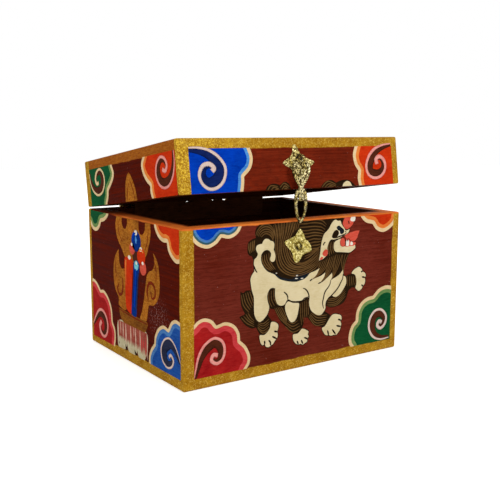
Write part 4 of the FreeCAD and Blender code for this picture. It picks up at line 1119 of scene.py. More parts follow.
SHADOW = sweep([(-19, 56.4), (-15, 53.8), (-10, 52), (-5.4, 51.4), (-3.4, 53.4), (0.6, 54), (5.4, 53.8),
                (6, 52.8), (3, 50.6), (-3, 49.4), (-9, 50), (-15, 52), (-19, 55)], True)
patch("lion_outline", "front", [drawn_in(BODY, -INK_WIDTH)], INK, 0.055)
patch("lion_paw_outlines", "front", [drawn_in(shape, -INK_WIDTH) for shape in PAWS + [FAR_LEG]], INK, 0.05)
patch("lion_belly_shadow", "front", [SHADOW], BLUE_BLACK, 0.06)
INK_LINES = [
    [(-31.8, 61.4), (-31, 59.2), (-29.7, 57.4)], [(-11.7, 44.7), (-10, 43.4), (-9, 41.8), (-8.8, 39.8)],
    [(-10.4, 38), (-8.8, 39.7), (-6, 38.5), (-2, 37.9), (1.4, 38), (3, 39.2), (6, 39.8)],
    [(1.8, 45.2), (3.7, 44.4), (5.3, 42.6), (6.2, 40.4), (6.3, 37)],
    [(22.3, 47.8), (21.6, 45.2), (20.2, 43.4), (18.4, 41.6), (17.5, 39.8), (17, 37.8), (16.4, 35.2),
     (16.6, 33.4), (17.3, 31.4)],
    [(31.6, 50.4), (31.2, 47.4), (30.3, 46), (29.2, 44.2), (27.8, 42.4), (26.4, 41), (24.6, 39.6),
     (23.1, 38.5), (20.6, 37.2)],
    [(8.6, 49.8), (6.6, 48.8)], [(15, 47.2), (12.8, 46.6)],
    [(23, 72.2), (26, 72.2), (29, 72.9), (32, 73.6), (33.6, 74.4)], [(16, 68.4), (16.8, 69.8), (17.8, 70.2)],
    [(33.2, 70.6), (33, 68.6), (33, 66.8)], [(34.6, 70.8), (34.5, 69.2)],
    [(30.2, 79.6), (29.6, 80.8), (29.9, 82.6)], [(32.4, 75.4), (33.2, 74.9)], [(34.8, 81.4), (35.4, 79.4)],
]
TOES = [
    [(-24.6, 18.8), (-24.4, 16.6)], [(-21.9, 18.7), (-20.7, 17.4), (-20.3, 15.3)],
    [(-19.4, 20.5), (-16.4, 18.7)], [(-18.2, 23.3), (-15.8, 22.5)],
    [(-2, 15.2), (-0.9, 13)], [(1, 15.2), (2.4, 12.7)], [(3.2, 16.4), (5.9, 15)], [(20.5, 18), (21.5, 14.8)],
    [(24, 18), (26.2, 15.4), (26.6, 14.4)], [(27.2, 19.8), (30.6, 18.8)], [(28.4, 23.5), (30.8, 22.5)],
    [(45.6, 50.4), (46.6, 49.8)], [(46.4, 46.9), (49, 46.3)], [(46.2, 42.2), (47.8, 41)],
]
ink_lines = pen_lines(INK_LINES, 0.85) + pen_lines(TOES, 1.1)
brush_lines("lion_ink", "front", ink_lines, INK, PEN_HEIGHT, PEN_FLAT)
GLINTS = [[(28, 75.6), (28.1, 74.4)], [(27.2, 73.2), (28.6, 73.6), (30.2, 73.2)],
          [(-17.4, 56), (-16.4, 55.6)], [(-3.4, 53), (-1.8, 52.8)], [(-4, 51.4), (-2, 51.2)],
          [(0, 51), (2, 50.9)]]
brush_lines("lion_glints", "front", pen_lines(GLINTS, 0.6), TOOTH, PEN_HEIGHT, PEN_FLAT)
print("ink lines:", len(ink_lines), "glints:", len(GLINTS))

# %% [markdown]
# The mane's crest and the tip of an ear run over the gap onto the lid. The lid is a separate board that
# swings away, so that part of the picture is painted on the lid and rides with it.

# %% Carry the mane over to the lid
CREST = swept_shapes([
    [(-24, 82), (-22.6, 86.6), (-19, 88.2), (-15, 87.8), (-14, 87.2, SHARP), (-11, 89), (-8, 88),
     (-6.4, 84), (-7, 80)],
    [(14, 82), (15.4, 86), (18.6, 88.2), (22.6, 88.8), (26, 87.2, SHARP), (30, 88.4), (35, 88.4),
     (38.6, 86.6), (41, 84), (41, 80)]])
EAR = sweep([(30.4, 82), (31, 85.8), (33.2, 87.6), (35.6, 87.6), (37.4, 85.8), (37.8, 82)], True)
patch("lid_mane", "lid_front", CREST, HAIR_BROWN, COAT)
patch("lid_ear", "lid_front", [EAR], IVORY, 0.06)
crest_strokes = (
    lock([(-22.4, 85), (-20, 87.2), (-15.4, 86.6)], [(-18, 84), (-16.6, 85.2), (-14.4, 84.6)], 3)
    + lock([(-14, 86), (-11, 88.2), (-7.6, 86)], [(-11.6, 84), (-10.4, 85.4), (-8.6, 84.4)], 3)
    + lock([(15.4, 85), (20, 88), (26, 86)], [(18.6, 84), (21.6, 85.4), (25.4, 84.2)], 3)
)
brush_lines("lid_mane_strokes", "lid_front", combed(crest_strokes, 0.75), HAIR_LINE, HAIR_HEIGHT, HAIR_FLAT)
print("crest strokes:", len(crest_strokes))

# %% [markdown]
# On the ends stands an offering: rolled jewels in a dish on a lotus, with ochre flames round them that
# reach up over the gap onto the lid. The flames are one broad shape with holes where the dark ground
# shows through, and their swirls are drawn on in red brown. FLAME_LINES says how high those lines lie, in
# millimetres, and to what share of their width they are pressed flat.

# %% Paint the flames and the dish
FLAMES = [
    [(-26, 67.6, SHARP), (-29.4, 65), (-31.6, 61.6), (-32.6, 56.5), (-33, 50), (-31, 43), (-25.6, 38.6),
     (-20, 37.4), (-18.6, 33.6), (-16.4, 28), (-9, 27.5), (-11.4, 32.6), (-14, 39.5), (-16, 46.5),
     (-18, 53.5), (-21, 56.6), (-24.4, 57.8), (-26.8, 60.6), (-27.2, 64)],
    [(-22, 88, SHARP), (-23.4, 80.6), (-22.8, 75), (-20.6, 70), (-18.6, 66), (-14, 62), (-6, 60), (4, 58),
     (11, 62), (13.4, 65), (17.6, 68.6), (20.6, 73.6), (21.2, 78.6), (19.4, 84), (18.6, 88, SHARP)],
    [(17.8, 64, SHARP), (22, 60), (24.8, 54.6), (25.6, 46.6), (23.6, 39.4), (19.2, 34.6), (19, 30.4),
     (9, 29.5), (9, 45), (9.8, 53.4), (13.6, 53), (16.8, 55.4), (17.6, 59.6)],
]
FLAME_HOLES = [[(-17, 86, SHARP), (-16.8, 80), (-14.6, 76.6), (-11, 76), (-9, 79), (-9.4, 86, SHARP)],
               [(5.6, 86, SHARP), (5.8, 80), (8, 77), (11, 77.4), (12.6, 80), (12.2, 86, SHARP)]]
DISH = [(-18, 26.8), (-8, 27.6), (8, 28), (19, 28.8, SHARP), (17.6, 24.4), (13.4, 21), (0, 20.4),
        (-14, 20.8)]
SWIRLS = [
    [(-19.4, 40.6, 0.9), (-18.2, 45, 1.7), (-20, 49.4, 1.9), (-24, 50.6, 1.9), (-27.4, 48, 1.7),
     (-27.2, 43.6, 1.5), (-23.8, 42.2, 1.2), (-22.4, 45.4, 0.8)],
    [(13.2, 47.6, 0.9), (12.8, 42.6, 1.5), (14.6, 38, 1.8), (18.2, 37, 1.7), (20.4, 40.2, 1.4),
     (18.4, 43.2, 0.8)],
    [(-17.6, 26.2, 0.5), (-4, 26.4, 0.9), (8, 27, 0.9), (18.6, 27.8, 0.5)],
    [(-26.4, 64.4, 0.4), (-29.2, 58, 0.8), (-28.6, 52, 0.4)],
    [(22.4, 57, 0.4), (22.6, 50, 0.8), (20.6, 46, 0.4)],
    [(-20.8, 80, 0.4), (-19.4, 73, 0.8), (-16, 67, 0.4)],
    [(17.6, 80, 0.4), (16.6, 73.6, 0.8), (12.6, 68.6, 0.4)],
]
FLAME_LINES = (0.06, 0.06)
RED_BROWN = painted("red_brown_line", (96, 26, 8), (118, 36, 12), (140, 54, 24))
for end in ("left", "right"):
    patch(end + "_flames", end, swept_shapes(FLAMES + FLAME_HOLES), OCHRE, COAT)
    patch(end + "_dish", end, swept_shapes([DISH]), DISH_BROWN, 0.05)
    brush_lines(end + "_flame_lines", end, swept_strokes(SWIRLS), RED_BROWN, *FLAME_LINES)
print("flames:", len(FLAMES), "holes:", len(FLAME_HOLES), "swirls:", len(SWIRLS))

# %% [markdown]
# The jewels are short rolls and balls in bright colours, each with a lighter side and a white spark so that
# it looks round. A circle is the natural start for a ball, and here it is a ring of points that a helper
# sets out; the same helper draws the smaller sparks.

# %% Paint the jewels
TURQUOISE = painted("turquoise", (50, 120, 140), (96, 188, 204), (170, 232, 238))


def disc(across, up, radius, squash=1.0):
    """A round outline."""
    return [(across + radius * squash * math.cos(math.radians(a)), up + radius * math.sin(math.radians(a)))
            for a in range(0, 360, 12)]


ROLLS = {
    "blue_roll": (ROYAL_BLUE, [(-9, 58.6), (-6, 60.4), (-2.2, 59), (-1.4, 50), (0.6, 38), (2, 28.6),
                               (-1, 27.4), (-4, 28), (-5.4, 38), (-7.6, 50)]),
    "red_roll": (VERMILION, [(-0.8, 59.8), (4, 61), (9.6, 59.8), (9.6, 48), (9, 31), (5.6, 28.6),
                             (2.4, 28.4), (1.6, 38), (0.4, 48)]),
}
ROLL_TIP = [(-8, 58.2), (-5.6, 60.4), (-3, 59), (-3, 56), (-5.4, 54.8), (-7.6, 56.2)]
DARK_NEST = disc(-5.6, 63, 5.0)
BALLS = {
    "blue_ball": (ROYAL_BLUE, [disc(-5.6, 71.4, 5.8)]), "orange_ball": (VERMILION, [disc(-11.6, 63.6, 5)]),
    "coral_balls": (CORAL, [disc(-13.6, 57.2, 3.9), disc(-0.4, 66.6, 3.4)]),
}
LIGHT_SIDES = {
    "blue_light": (DEEP_BLUE, [[(-4.6, 55.6, 1.0), (-3.9, 47, 2.2), (-1.6, 33, 1.2)],
                               [(-1.6, 71.4, 0.8), (-2.2, 74.4, 1.8), (-5, 76, 1.6)]]),
    "blue_dab": (LIGHT_BLUE, [[(-5.2, 74.2, 1.0), (-5.4, 72.2, 2.6), (-5.6, 70, 0.8)]]),
    "blue_dark": (NIGHT_BLUE, [[(-7.8, 54, 0.6), (-6.9, 47, 1.4), (-4.4, 32, 1.5)]]),
    "orange_light": (ORANGE, [[(8.2, 59, 1.9), (8.6, 54, 1.3), (8.5, 44, 0.4)],
                              [(-8.6, 66, 0.9), (-11, 67.4, 1.8), (-14.4, 66, 0.8)]]),
}
SPARKS = [disc(-5.4, 76.2, 1.5, 1.2), disc(-11.4, 67.6, 1.3, 1.2), disc(-5.4, 59, 0.9, 1.2),
          disc(3.4, 61, 1.2, 1.5), disc(-13.4, 60, 1.0, 1.2), disc(0, 69, 0.9, 1.2)]
for end in ("left", "right"):
    patch(end + "_dark_nest", end, [DARK_NEST], BROWN_SHADE, 0.06)
    for name, (finish, outline) in ROLLS.items():
        patch(f"{end}_{name}", end, swept_shapes([outline]), finish, 0.08)
    for name, (finish, outlines) in BALLS.items():
        patch(f"{end}_{name}", end, outlines, finish, 0.1)
    for name, (finish, lines) in LIGHT_SIDES.items():
        brush_lines(f"{end}_{name}", end, swept_strokes(lines), finish, height=0.1, flat=0.05)
    patch(end + "_turquoise_tip", end, swept_shapes([ROLL_TIP]), TURQUOISE, 0.1)
    patch(end + "_sparks", end, SPARKS, TOOTH, 0.125)
print("jewels:", list(ROLLS) + list(BALLS))

# %% [markdown]
# The lotus under the dish is a row of pale petals. A rose wash runs down over them from the dish in pointed
# strokes, redder towards the front, pale veins were drawn on it in one pull of the brush, and dark ticks
# part the feet. On the lid only the tip of the flame remains.

# %% Paint the lotus and the flame's tip
ROSE = painted("petal_rose", (132, 50, 42), (160, 76, 62), (190, 112, 94))
PETAL_PALE = painted("petal_pale", (164, 154, 116), (194, 186, 152), (218, 210, 182))
PETAL_VEIN = painted("petal_vein", (212, 168, 146), (230, 194, 170), (242, 218, 198))
PETALS = [[(-18, 18), (-16, 21.2), (-8, 21), (-4.6, 19), (-4.2, 10), (-6, 4.8), (-12, 3.8), (-15.4, 7),
           (-17.4, 12)],
          [(-4.9, 19), (-2, 21.2), (5, 21), (8.8, 19), (9, 10), (7, 5), (1, 3.8), (-3.4, 6), (-4.9, 11)],
          [(8.4, 19), (11, 21.2), (18, 21.4), (21.6, 19), (22, 11), (21, 4.8), (15, 3.8), (10.4, 6),
           (8.5, 11)]]
WASH_START, WASH_STEP = -16.2, 1.7
WASH_FEET = (6.6, 6, 6.6, 7, 7.6, 8.4, 9, 8.4, 9.6, 8.8, 9.4, 8.6, 9.8, 9, 9.8, 9.2, 10, 9.4, 10.2, 10, 11,
             10.6)
WASH = []
for number, foot in enumerate(WASH_FEET):
    x = WASH_START + WASH_STEP * number
    WASH.append([(x, 20.8, 1.9), (x - 0.2, 16, 2.1), (x - 0.1, 12, 1.7), (x, foot, 0.2)])
BLUSH = [[(x, 19, 0.5), (x - 0.1, 14, 1.6), (x, 8, 0.3)] for x in (-15.2, -12.6, -10)]
VEIN_PLACES = ((20.7, 6, 1.1), (17.5, 13, 0.8), (14.1, 11, 1.2), (10.4, 7.6, 1.5), (3.9, 9.4, 1.2),
               (-0.3, 15, 0.8), (-2.5, 8.4, 1.3), (-8.2, 9, 1.2), (-17, 5.4, 0.9))
VEINS = [[(x, 20.6, 0.4), (x - 0.2, (20.6 + foot) / 2, width), (x, foot, 0.2)]
         for x, foot, width in VEIN_PLACES]
TICKS = [[(11, 8, 0.4), (10.4, 6, 1.6), (9.6, 4.8, 2.2)], [(-1.2, 7.4, 0.4), (-1.8, 6, 1.7), (-3.4, 5, 1.6)],
         [(19.8, 8, 0.3), (19.4, 6.4, 0.9)], [(-16.4, 6, 0.3), (-17.2, 4.6, 1.2)]]
PETAL_FLAT = 0.03
PETAL_LINES = {"wash": (WASH, ROSE, 0.035), "blush": (BLUSH, ROSE_RED, 0.045),
               "veins": (VEINS, PETAL_VEIN, 0.06), "ticks": (TICKS, INK, 0.06)}
TIP_SWIRLS = [[(-6, 84, 0.4), (-4.4, 91, 0.8), (-1, 97, 0.4)],
              [(3.4, 84, 0.4), (3, 90, 0.8), (0.6, 95, 0.4)]]
FLAME_TIP = [(-8.8, 80), (-8.4, 87), (-6.8, 93), (-3.6, 98), (-0.4, 101), (3, 98), (5.2, 93), (5.8, 87),
             (5.8, 80)]
for end in ("left", "right"):
    for number, points in enumerate(PETALS):
        patch(f"{end}_petal_{number}", end, swept_shapes([points]), PETAL_PALE, COAT)
    for name, (lines, finish, height) in PETAL_LINES.items():
        brush_lines(f"{end}_petal_{name}", end, swept_strokes(lines), finish, height, PETAL_FLAT)
    patch(f"lid_{end}_flame", "lid_" + end, swept_shapes([FLAME_TIP]), OCHRE, 0.04)
    brush_lines(f"lid_{end}_flame_lines", "lid_" + end, swept_strokes(TIP_SWIRLS), RED_BROWN, *FLAME_LINES)
print("petals:", len(PETALS), "strokes:", len(WASH) + len(BLUSH) + len(VEINS) + len(TICKS))

# %% [markdown]
# The back and the top can't be seen in the photograph. Boxes of this kind carry the same lobed clouds in
# the corners there, more plainly done, so those faces reuse the outlines of the front. The top's clouds
# are the front's lower ones, moved to the corners of the lid and mirrored by changing the signs.

# %% Paint the back and the top
for name, (tones, points) in FRONT_CLOUDS.items():
    cloud(name, "back", points, tones)
for name, (tones, points) in LID_FRONT_CLOUDS.items():
    cloud(name, "lid_back", points, tones)
for name, (light, dark, points) in FRONT_SPIRALS.items():
    spiral(name, "back", points, light, dark)
for name, (light, dark, points) in LID_FRONT_SPIRALS.items():
    spiral(name, "lid_back", points, light, dark)


def moved(points, up, flip):
    """The same outline moved up or down, and turned upside down where flip is -1."""
    return [(point[0], point[1] * flip + up, *point[2:]) for point in points]


TOP_SHIFT = 60.2
TOP_CORNERS = [("crimson", CRIMSONS, -TOP_SHIFT, 1), ("green", GREENS, -TOP_SHIFT, 1),
               ("crimson", BLUES, TOP_SHIFT, -1), ("green", REDS, TOP_SHIFT, -1)]
for pattern, tones, up, flip in TOP_CORNERS:
    name = tones[-1][1].name + "_corner"
    cloud(name, "lid_top", moved(FRONT_CLOUDS[pattern + "_cloud"][1], up, flip), tones)
    light, dark, points = FRONT_SPIRALS[pattern]
    spiral(name, "lid_top", moved(points, up, flip), light, NAVY if tones is BLUES else dark)
print("painted the back, the lid's back and", len(TOP_CORNERS), "corners of the top")

# %% [markdown]
# Between the hinges only a few specks of light come through the gap at the back in the photograph, although
# the lid stands open. A thin dark lath on the inside of the back board would do that, so a dark strip goes
# in there as painted shade for the gap, and it stays with the base when the lid swings. A grid is the start,
# because its rows can be moved one by one: the upper edge waves a little, like a whittled one, has three
# nicks and leans clear of the lid's rail. Solidify and a small bevel turn it into a lath.

# %% Fit the dark strip that shades the gap
STRIP_LEFT, STRIP_RIGHT, STRIP_LOW, STRIP_HIGH = -0.0485, 0.0495, 0.074, 0.0868
STRIP_THICK, STRIP_LEAN, STRIP_WAVE, STRIP_EDGE = 0.0009, 0.0006, 0.00012, 0.0002
NICKS, NICK_REACH, NICK_DEPTH = (-0.0113, 0.008, 0.0176), 0.0009, 0.001
inner_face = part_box("back_board")[0].y
bpy.ops.object.select_all(action="DESELECT")
bpy.ops.mesh.primitive_grid_add(x_subdivisions=60, y_subdivisions=6, size=1.0)
strip = bpy.context.object
strip.name = strip.data.name = "gap_shade_strip"
for vertex in strip.data.vertices:
    along, share = vertex.co.x + 0.5, vertex.co.y + 0.5
    place = STRIP_LEFT + (STRIP_RIGHT - STRIP_LEFT) * along
    height = STRIP_HIGH - STRIP_LOW + STRIP_WAVE * (math.sin(along * 23) + math.sin(along * 61 + 1))
    if share > 0.99 and min(abs(place - nick) for nick in NICKS) < NICK_REACH:
        height -= NICK_DEPTH
    vertex.co = (place, inner_face - STRIP_LEAN * share, STRIP_LOW + height * share)
bpy.ops.object.modifier_add(type="SOLIDIFY")
strip.modifiers["Solidify"].thickness = STRIP_THICK
strip.modifiers["Solidify"].offset = 1
bpy.ops.object.modifier_apply(modifier="Solidify")
bpy.ops.object.modifier_add(type="BEVEL")
strip.modifiers["Bevel"].width = STRIP_EDGE
strip.modifiers["Bevel"].segments = 2
bpy.ops.object.modifier_apply(modifier="Bevel")
# painted shade: the strip's dark brown stands in for the shade in the gap at the back
strip.data.materials.append(painted("gap_shade_brown", (72, 38, 20), (100, 56, 30), (132, 82, 50)))
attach(strip, "base")
print("dust strip inside the back board, at", round(inner_face, 4), "m:", len(strip.data.polygons), "faces")

# %% [markdown]
# The fittings are thin brass, cut, hammered and twisted by hand. Polished by use on the high places and dull
# green brown in the hollows, such brass shows its grain: small cells from a Voronoi texture give the
# hammer marks and granules, and a slower noise gives the places where lacquer and dirt are left. The stars
# are painted dark round the eye that passes through them, as its shade, and the wire gets a painted
# highlight on its flats and painted shade on its sides from an attribute of its mesh, made further down.

# %% Mix the brass
def brass(name, dull, main, bright, grain, relief, shaded_spot=None, light_and_shade_by=None):
    """Hammered brass, dull in the hollows and bright where worn, with painted light and shade from an
    attribute and painted shade round one place if asked.
    """
    made, tree, shader, where = new_material(name)
    cells = node(tree, "TexVoronoi", {"Vector": where, "Scale": grain}, feature="F1").outputs["Distance"]
    bumps = spread(tree, cells, 0.1, 0.75)
    rubbed = speckle(tree, where, grain * 0.28, 0.36, 0.66)
    body = blended(tree, bumps, colour(*main), colour(*dull))
    worn = maths(tree, "MULTIPLY", rubbed, rest(tree, bumps))
    skin = blended(tree, worn, body, colour(*bright))
    # painted light and shade: the brass turns dull where the attribute is low, on the sides of a wire
    if light_and_shade_by:
        high = node(tree, "Attribute", {}, attribute_name=light_and_shade_by).outputs["Fac"]
        skin = blended(tree, high, colour(*dull), skin)
    # painted shade: dark brown round one place, such as the eye that passes through a star
    if shaded_spot:
        far = maths(tree, "ADD", distance_from(tree, where, shaded_spot), maths(tree, "MULTIPLY", rubbed, 0.0007))
        skin = blended(tree, spread(tree, far, 0.0032, 0.0022), skin, colour(30, 20, 10))
    gloss = spread(tree, rubbed, 0.0, 1.0, 0.42, 0.26)
    height = maths(tree, "ADD", maths(tree, "MULTIPLY", bumps, -1.0), rubbed)
    connect(tree, shader, skin, gloss, height, strength=relief, depth=0.0004)
    shader.inputs["Metallic"].default_value = 1.0
    return made


BRIGHT_TONES = ((118, 102, 38), (190, 172, 80), (244, 234, 176))
BRIGHT_BRASS = brass("bright_brass", *BRIGHT_TONES, 900.0, 0.5)
GRANULAR_BRASS = brass("granular_brass", (54, 40, 10), (186, 164, 78), (252, 238, 176), 1300.0, 0.8)
# the wire takes a painted highlight on its flats and painted shade on its sides from its attribute
WIRE_BRASS = brass("wire_brass", (40, 28, 8), (206, 180, 92), (255, 246, 198), 800.0, 0.3, None, "worn")
# both stars get painted shade round the eye that passes through them
BASE_STAR_BRASS = brass("base_star_brass", *BRIGHT_TONES, 900.0, 0.5,
                        FACES["front"][0] @ Vector((-2.0, 69.6, 0.4)))
LID_STAR_BRASS = brass("lid_star_brass", (66, 50, 14), (190, 168, 80), (252, 240, 180), 900.0, 0.7,
                       FACES["lid_front"][0] @ Vector((0.2, 101.2, 0.4)))
HINGE_BRASS = brass("hinge_brass", (104, 80, 30), (160, 132, 60), (206, 182, 110), 1500.0, 0.12)
for name in nodes:
    if "hinge" in name:
        cover(nodes[name], BRIGHT_BRASS if "nails" in name else HINGE_BRASS)
cover(nodes["base_staple"], BRIGHT_BRASS)
cover(nodes["lid_staple"], GRANULAR_BRASS)
print("brass mixed:", [made.name for made in (BRIGHT_BRASS, GRANULAR_BRASS, HINGE_BRASS)])

# %% [markdown]
# The star plates were cut from sheet by eye and hammered, so that each arm has a ridge and no two arms are
# alike. A filled circle with as many points as the outline has is a quick start: its fan of triangles
# already has a centre. The rim goes to the outline, the centre rises, and the fan's edges become ridges
# and valleys. Subdividing makes room for the hammer marks, which a seeded chance sets, and Solidify then
# gives the plate a back.

# %% Cut the star plates
STAR_HIGH, STAR_RIM, STAR_SHEET = 0.7, 0.3, 0.3
BASE_STAR = ((-2.6, 70.1), [
    (-1.3, 79.4), (-2.0, 79.0), (-3.4, 77.2), (-4.5, 75.6), (-7.2, 74.7), (-11.0, 73.5), (-11.8, 72.6),
    (-11.2, 71.5), (-9.2, 69.5), (-7.2, 67.5), (-6.2, 66.0), (-5.7, 63.2), (-4.3, 61.0), (-3.3, 60.6),
    (-2.3, 60.9), (-0.9, 62.2), (0.6, 64.2), (2.2, 65.1), (4.2, 65.7), (6.5, 66.3), (7.1, 67.0),
    (6.8, 68.8), (5.4, 71.0), (4.1, 72.3), (2.6, 73.3), (2.0, 74.7), (0.9, 77.0), (-0.7, 79.1)])
LID_STAR = ((-0.9, 99.2), [
    (-2.8, 108.8), (-3.7, 108.3), (-4.1, 107.0), (-4.1, 104.8), (-5.0, 103.0), (-7.5, 101.3), (-10.4, 99.7),
    (-11.1, 98.9), (-10.5, 98.1), (-9.0, 97.2), (-6.5, 96.1), (-5.0, 94.7), (-3.4, 92.2), (-1.0, 89.6),
    (1.2, 88.6), (2.2, 88.7), (2.9, 89.6), (3.6, 92.2), (4.7, 94.6), (7.0, 96.4), (9.8, 98.0), (10.6, 98.8),
    (9.8, 99.7), (7.0, 100.5), (4.6, 101.5), (2.4, 102.6), (0.6, 104.6), (-0.6, 107.0), (-1.9, 108.5)])


def star_plate(name, side, middle, outline, finish, replaced):
    """A hammered plate with ridged arms, lying on a face of the box."""
    bpy.ops.object.select_all(action="DESELECT")
    bpy.ops.mesh.primitive_circle_add(vertices=len(outline), radius=1.0, fill_type="TRIFAN")
    plate = bpy.context.object
    plate.name = plate.data.name = name
    rim = [v for v in plate.data.vertices if v.co.length > 0.5]
    rim.sort(key=lambda v: math.atan2(v.co.y, v.co.x))
    turned = sorted(outline, key=lambda p: math.atan2(p[1] - middle[1], p[0] - middle[0]))
    for vertex, place in zip(rim, turned):
        vertex.co = (*place, STAR_RIM)
    next(v for v in plate.data.vertices if v not in rim).co = (*middle, STAR_HIGH)
    edit_all()
    bpy.ops.mesh.normals_make_consistent(inside=False)
    bpy.ops.mesh.subdivide(number_cuts=5)
    bpy.ops.object.mode_set(mode="OBJECT")
    roll = random.Random(len(outline))
    for vertex in plate.data.vertices:
        vertex.co.z = min(STAR_HIGH, vertex.co.z + roll.uniform(-0.05, 0.06))
    sheet = plate.modifiers.new("sheet", "SOLIDIFY")
    sheet.thickness, sheet.offset = STAR_SHEET, -1.0
    bpy.ops.object.modifier_apply(modifier="sheet")
    matrix, body = FACES[side]
    carry(plate, matrix)
    plate.data.materials.append(finish)
    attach(plate, body)
    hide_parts(replaced)
    return plate


base_star = star_plate("base_star", "front", *BASE_STAR, BASE_STAR_BRASS, "base_star_plate")
lid_star = star_plate("lid_star", "lid_front", *LID_STAR, LID_STAR_BRASS, "lid_star_plate")
print("star plates of", len(base_star.data.polygons), "and", len(lid_star.data.polygons), "faces")

# %% [markdown]
# The hasp is one rope of two brass wires, bent into a figure of eight: the upper loop hangs in the lid's eye
# and the lower one goes over the eye of the base. Thinner wires fill the upper loop and cross under the
# neck. Curves with a round bevel are the natural tool for wire. The rope's two strands wind round the
# drawn line, so a function moves each point of the line out by a turning offset. The hasp hangs from the
# pin of its joint, turned a few degrees as in the photograph.

# %% Twist wires into a rope
WIRE = 0.9
STRAND_OUT, STRAND_THICK = 0.27, 0.56
swing = next(joint for joint in frame["joints"] if joint["name"] == "hasp_swing")
hang = Matrix.Rotation(math.radians(-3.0), 4, "X") @ Matrix.Rotation(math.radians(2.736), 4, "Y")
FACES["hasp"] = (face(hang @ east, hang @ upward, hang @ -north, swing["pos_m"]), "hasp")


def threaded(points, closed, out=0.0):
    """A smooth wire of (across, up, out, thickness) points, all at one distance out."""
    return [(p[0], p[1], out, p[2] if len(p) > 2 else WIRE) for p in sweep(points, closed, 0.3)]


def rope(line, pitch):
    """Two strands wound round a closed wire; each comes back as a wire of the same kind."""
    runs = [(Vector(b[:2]) - Vector(a[:2])) for a, b in zip(line, line[1:] + line[:1])]
    length = sum(run.length for run in runs)
    turns = round(length / pitch)
    strands = ([], [])
    gone = 0.0
    for (across, up, out, thick), run, before in zip(line, runs, runs[-1:] + runs[:-1]):
        along = (run.normalized() + before.normalized()).normalized()
        for strand, start in zip(strands, (0.0, math.pi)):
            angle = 2 * math.pi * turns * gone / length + start
            aside, lift = STRAND_OUT * thick * math.cos(angle), STRAND_OUT * thick * math.sin(angle)
            strand.append((across - along.y * aside, up + along.x * aside, out + lift, thick * STRAND_THICK))
        gone += run.length
    return strands


print("the hasp swings about", [round(x, 4) for x in swing["pos_m"]])

# %% [markdown]
# The figure of eight is drawn once round, with a thickness at each point: thin in the eye, stout at the
# sides. The filling is a set of short wires, and a thin one is wrapped round the neck as a coil, which a
# formula gives.

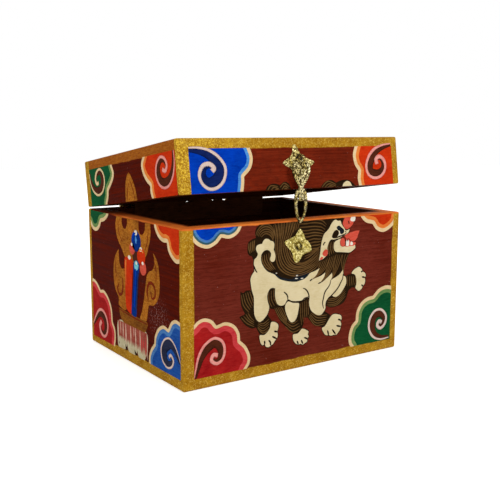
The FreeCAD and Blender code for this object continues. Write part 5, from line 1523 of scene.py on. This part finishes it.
# %% Draw the wires of the hasp
EIGHT = [(0, 0, 1.45), (2.3, -0.5, 1.6), (4.3, -2.1, 2.1), (5.2, -4.6, 2.2), (4.5, -7.4, 2.2),
         (2.9, -10.4, 2.1), (1.0, -13, 2.0), (-0.9, -15, 2.0), (-2.8, -17.2, 2.2), (-3.3, -19.5, 2.3),
         (-3.35, -22, 2.3), (-3.2, -25, 2.2), (-2.6, -28.2, 1.9), (-1.5, -31, 1.8), (0, -32.4, 1.9),
         (1.5, -31, 1.8), (2.6, -28.2, 1.9), (3.2, -25, 2.2), (3.35, -22, 2.3), (3.3, -19.5, 2.3),
         (2.8, -17.2, 2.2), (0.9, -15, 2.0), (-1.0, -13, 2.0), (-2.9, -10.4, 2.1), (-4.5, -7.4, 2.2),
         (-5.2, -4.6, 2.2), (-4.3, -2.1, 2.1), (-2.3, -0.5, 1.6)]
FILLING = [[(-4.6, -5.2), (-2, -4.7), (2, -4.7), (4.6, -5.2)],
           [(0, -4.8, 1.2), (0.1, -8, 1.2), (0, -12.6, 1.0)],
           [(-2.6, -5), (-1.4, -8.6), (-0.5, -12.4)], [(2.6, -5), (1.4, -8.6), (0.5, -12.4)],
           [(-3.6, -6.4), (0.4, -8.8), (2, -10.6)], [(3.6, -6.4), (-0.4, -8.8), (-2, -10.6)],
           [(-1.4, -15.6), (0.6, -17.8), (2.8, -20)], [(1.4, -15.6), (-0.6, -17.8), (-2.8, -20)],
           [(-2.6, -17), (-0.6, -19), (1.2, -21)], [(2.6, -17), (0.6, -19), (-1.2, -21)],
           [(-2.8, -20.6), (0, -21), (2.8, -20.6)],
           [(-0.7, -15.4, 1.2), (-1.1, -18, 1.4), (-1.0, -20.8, 1.2)],
           [(-2.6, -19.6), (0, -18.4), (2.6, -19.6)],
           [(0.7, -15.4, 1.2), (1.1, -18, 1.4), (1.0, -20.8, 1.2)]]
COIL_WIDE, COIL_DEEP, COIL_WIRE, COIL_TOP, COIL_STEPS = 1.5, 0.95, 0.75, -12.7, 62
WRAP = [(COIL_WIDE * math.cos(t * 0.35), COIL_TOP - t * 0.042, COIL_DEEP * math.sin(t * 0.35), COIL_WIRE)
        for t in range(COIL_STEPS)]
print("lines of the hasp:", len([EIGHT, WRAP] + FILLING))

# %% [markdown]
# All wires go into one curve object, the filling in two layers that cross. Converted to a mesh, it is
# pressed a little flat, as under a hammer, so that the hasp stays clear of the plate it closes on, and it is
# carried to its place in the eye. An attribute then marks the flats of the wires, front and back, for a
# painted highlight, and their sides for painted shade.

# %% Bend the hasp
ROPE_PITCH, LAYER, PRESSED = 2.6, 0.3, 0.68
wires = [(strand, True) for strand in rope(threaded(EIGHT, True), ROPE_PITCH)]
for number, points in enumerate(FILLING):
    wires.append((threaded(points, False, LAYER if number % 2 else -LAYER), False))
wires.append((WRAP, False))
drawing = new_drawing("hasp_wires", "3D")
drawing.data.twist_mode = "MINIMUM"
drawing.data.bevel_depth = 0.5
drawing.data.bevel_resolution = 2
drawing.data.use_fill_caps = True
for wire, closed in wires:
    add_line(drawing, [place[:3] for place in wire], [place[3] for place in wire], closed)
bpy.ops.object.convert(target="MESH")
edit_all()
bpy.ops.transform.resize(value=(1, 1, PRESSED), center_override=(0, 0, 0))
bpy.ops.object.mode_set(mode="OBJECT")
hasp = settle(bpy.context.object, "hasp", WIRE_BRASS)
outward = FACES["hasp"][0].to_3x3().col[2].normalized()
# painted light and shade: 1 on the flats that face front and back, falling to 0 on the sides
worn = hasp.data.attributes.new("worn", "FLOAT", "POINT")
for number, vertex in enumerate(hasp.data.vertices):
    worn.data[number].value = max(0.0, min(1.0, 1.6 * abs(vertex.normal.dot(outward)) - 0.5))
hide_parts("hasp")
depths = [vertex.co.y for vertex in hasp.data.vertices]
print("hasp of", len(hasp.data.polygons), "faces, thick", round(max(depths) - min(depths), 5), "m")
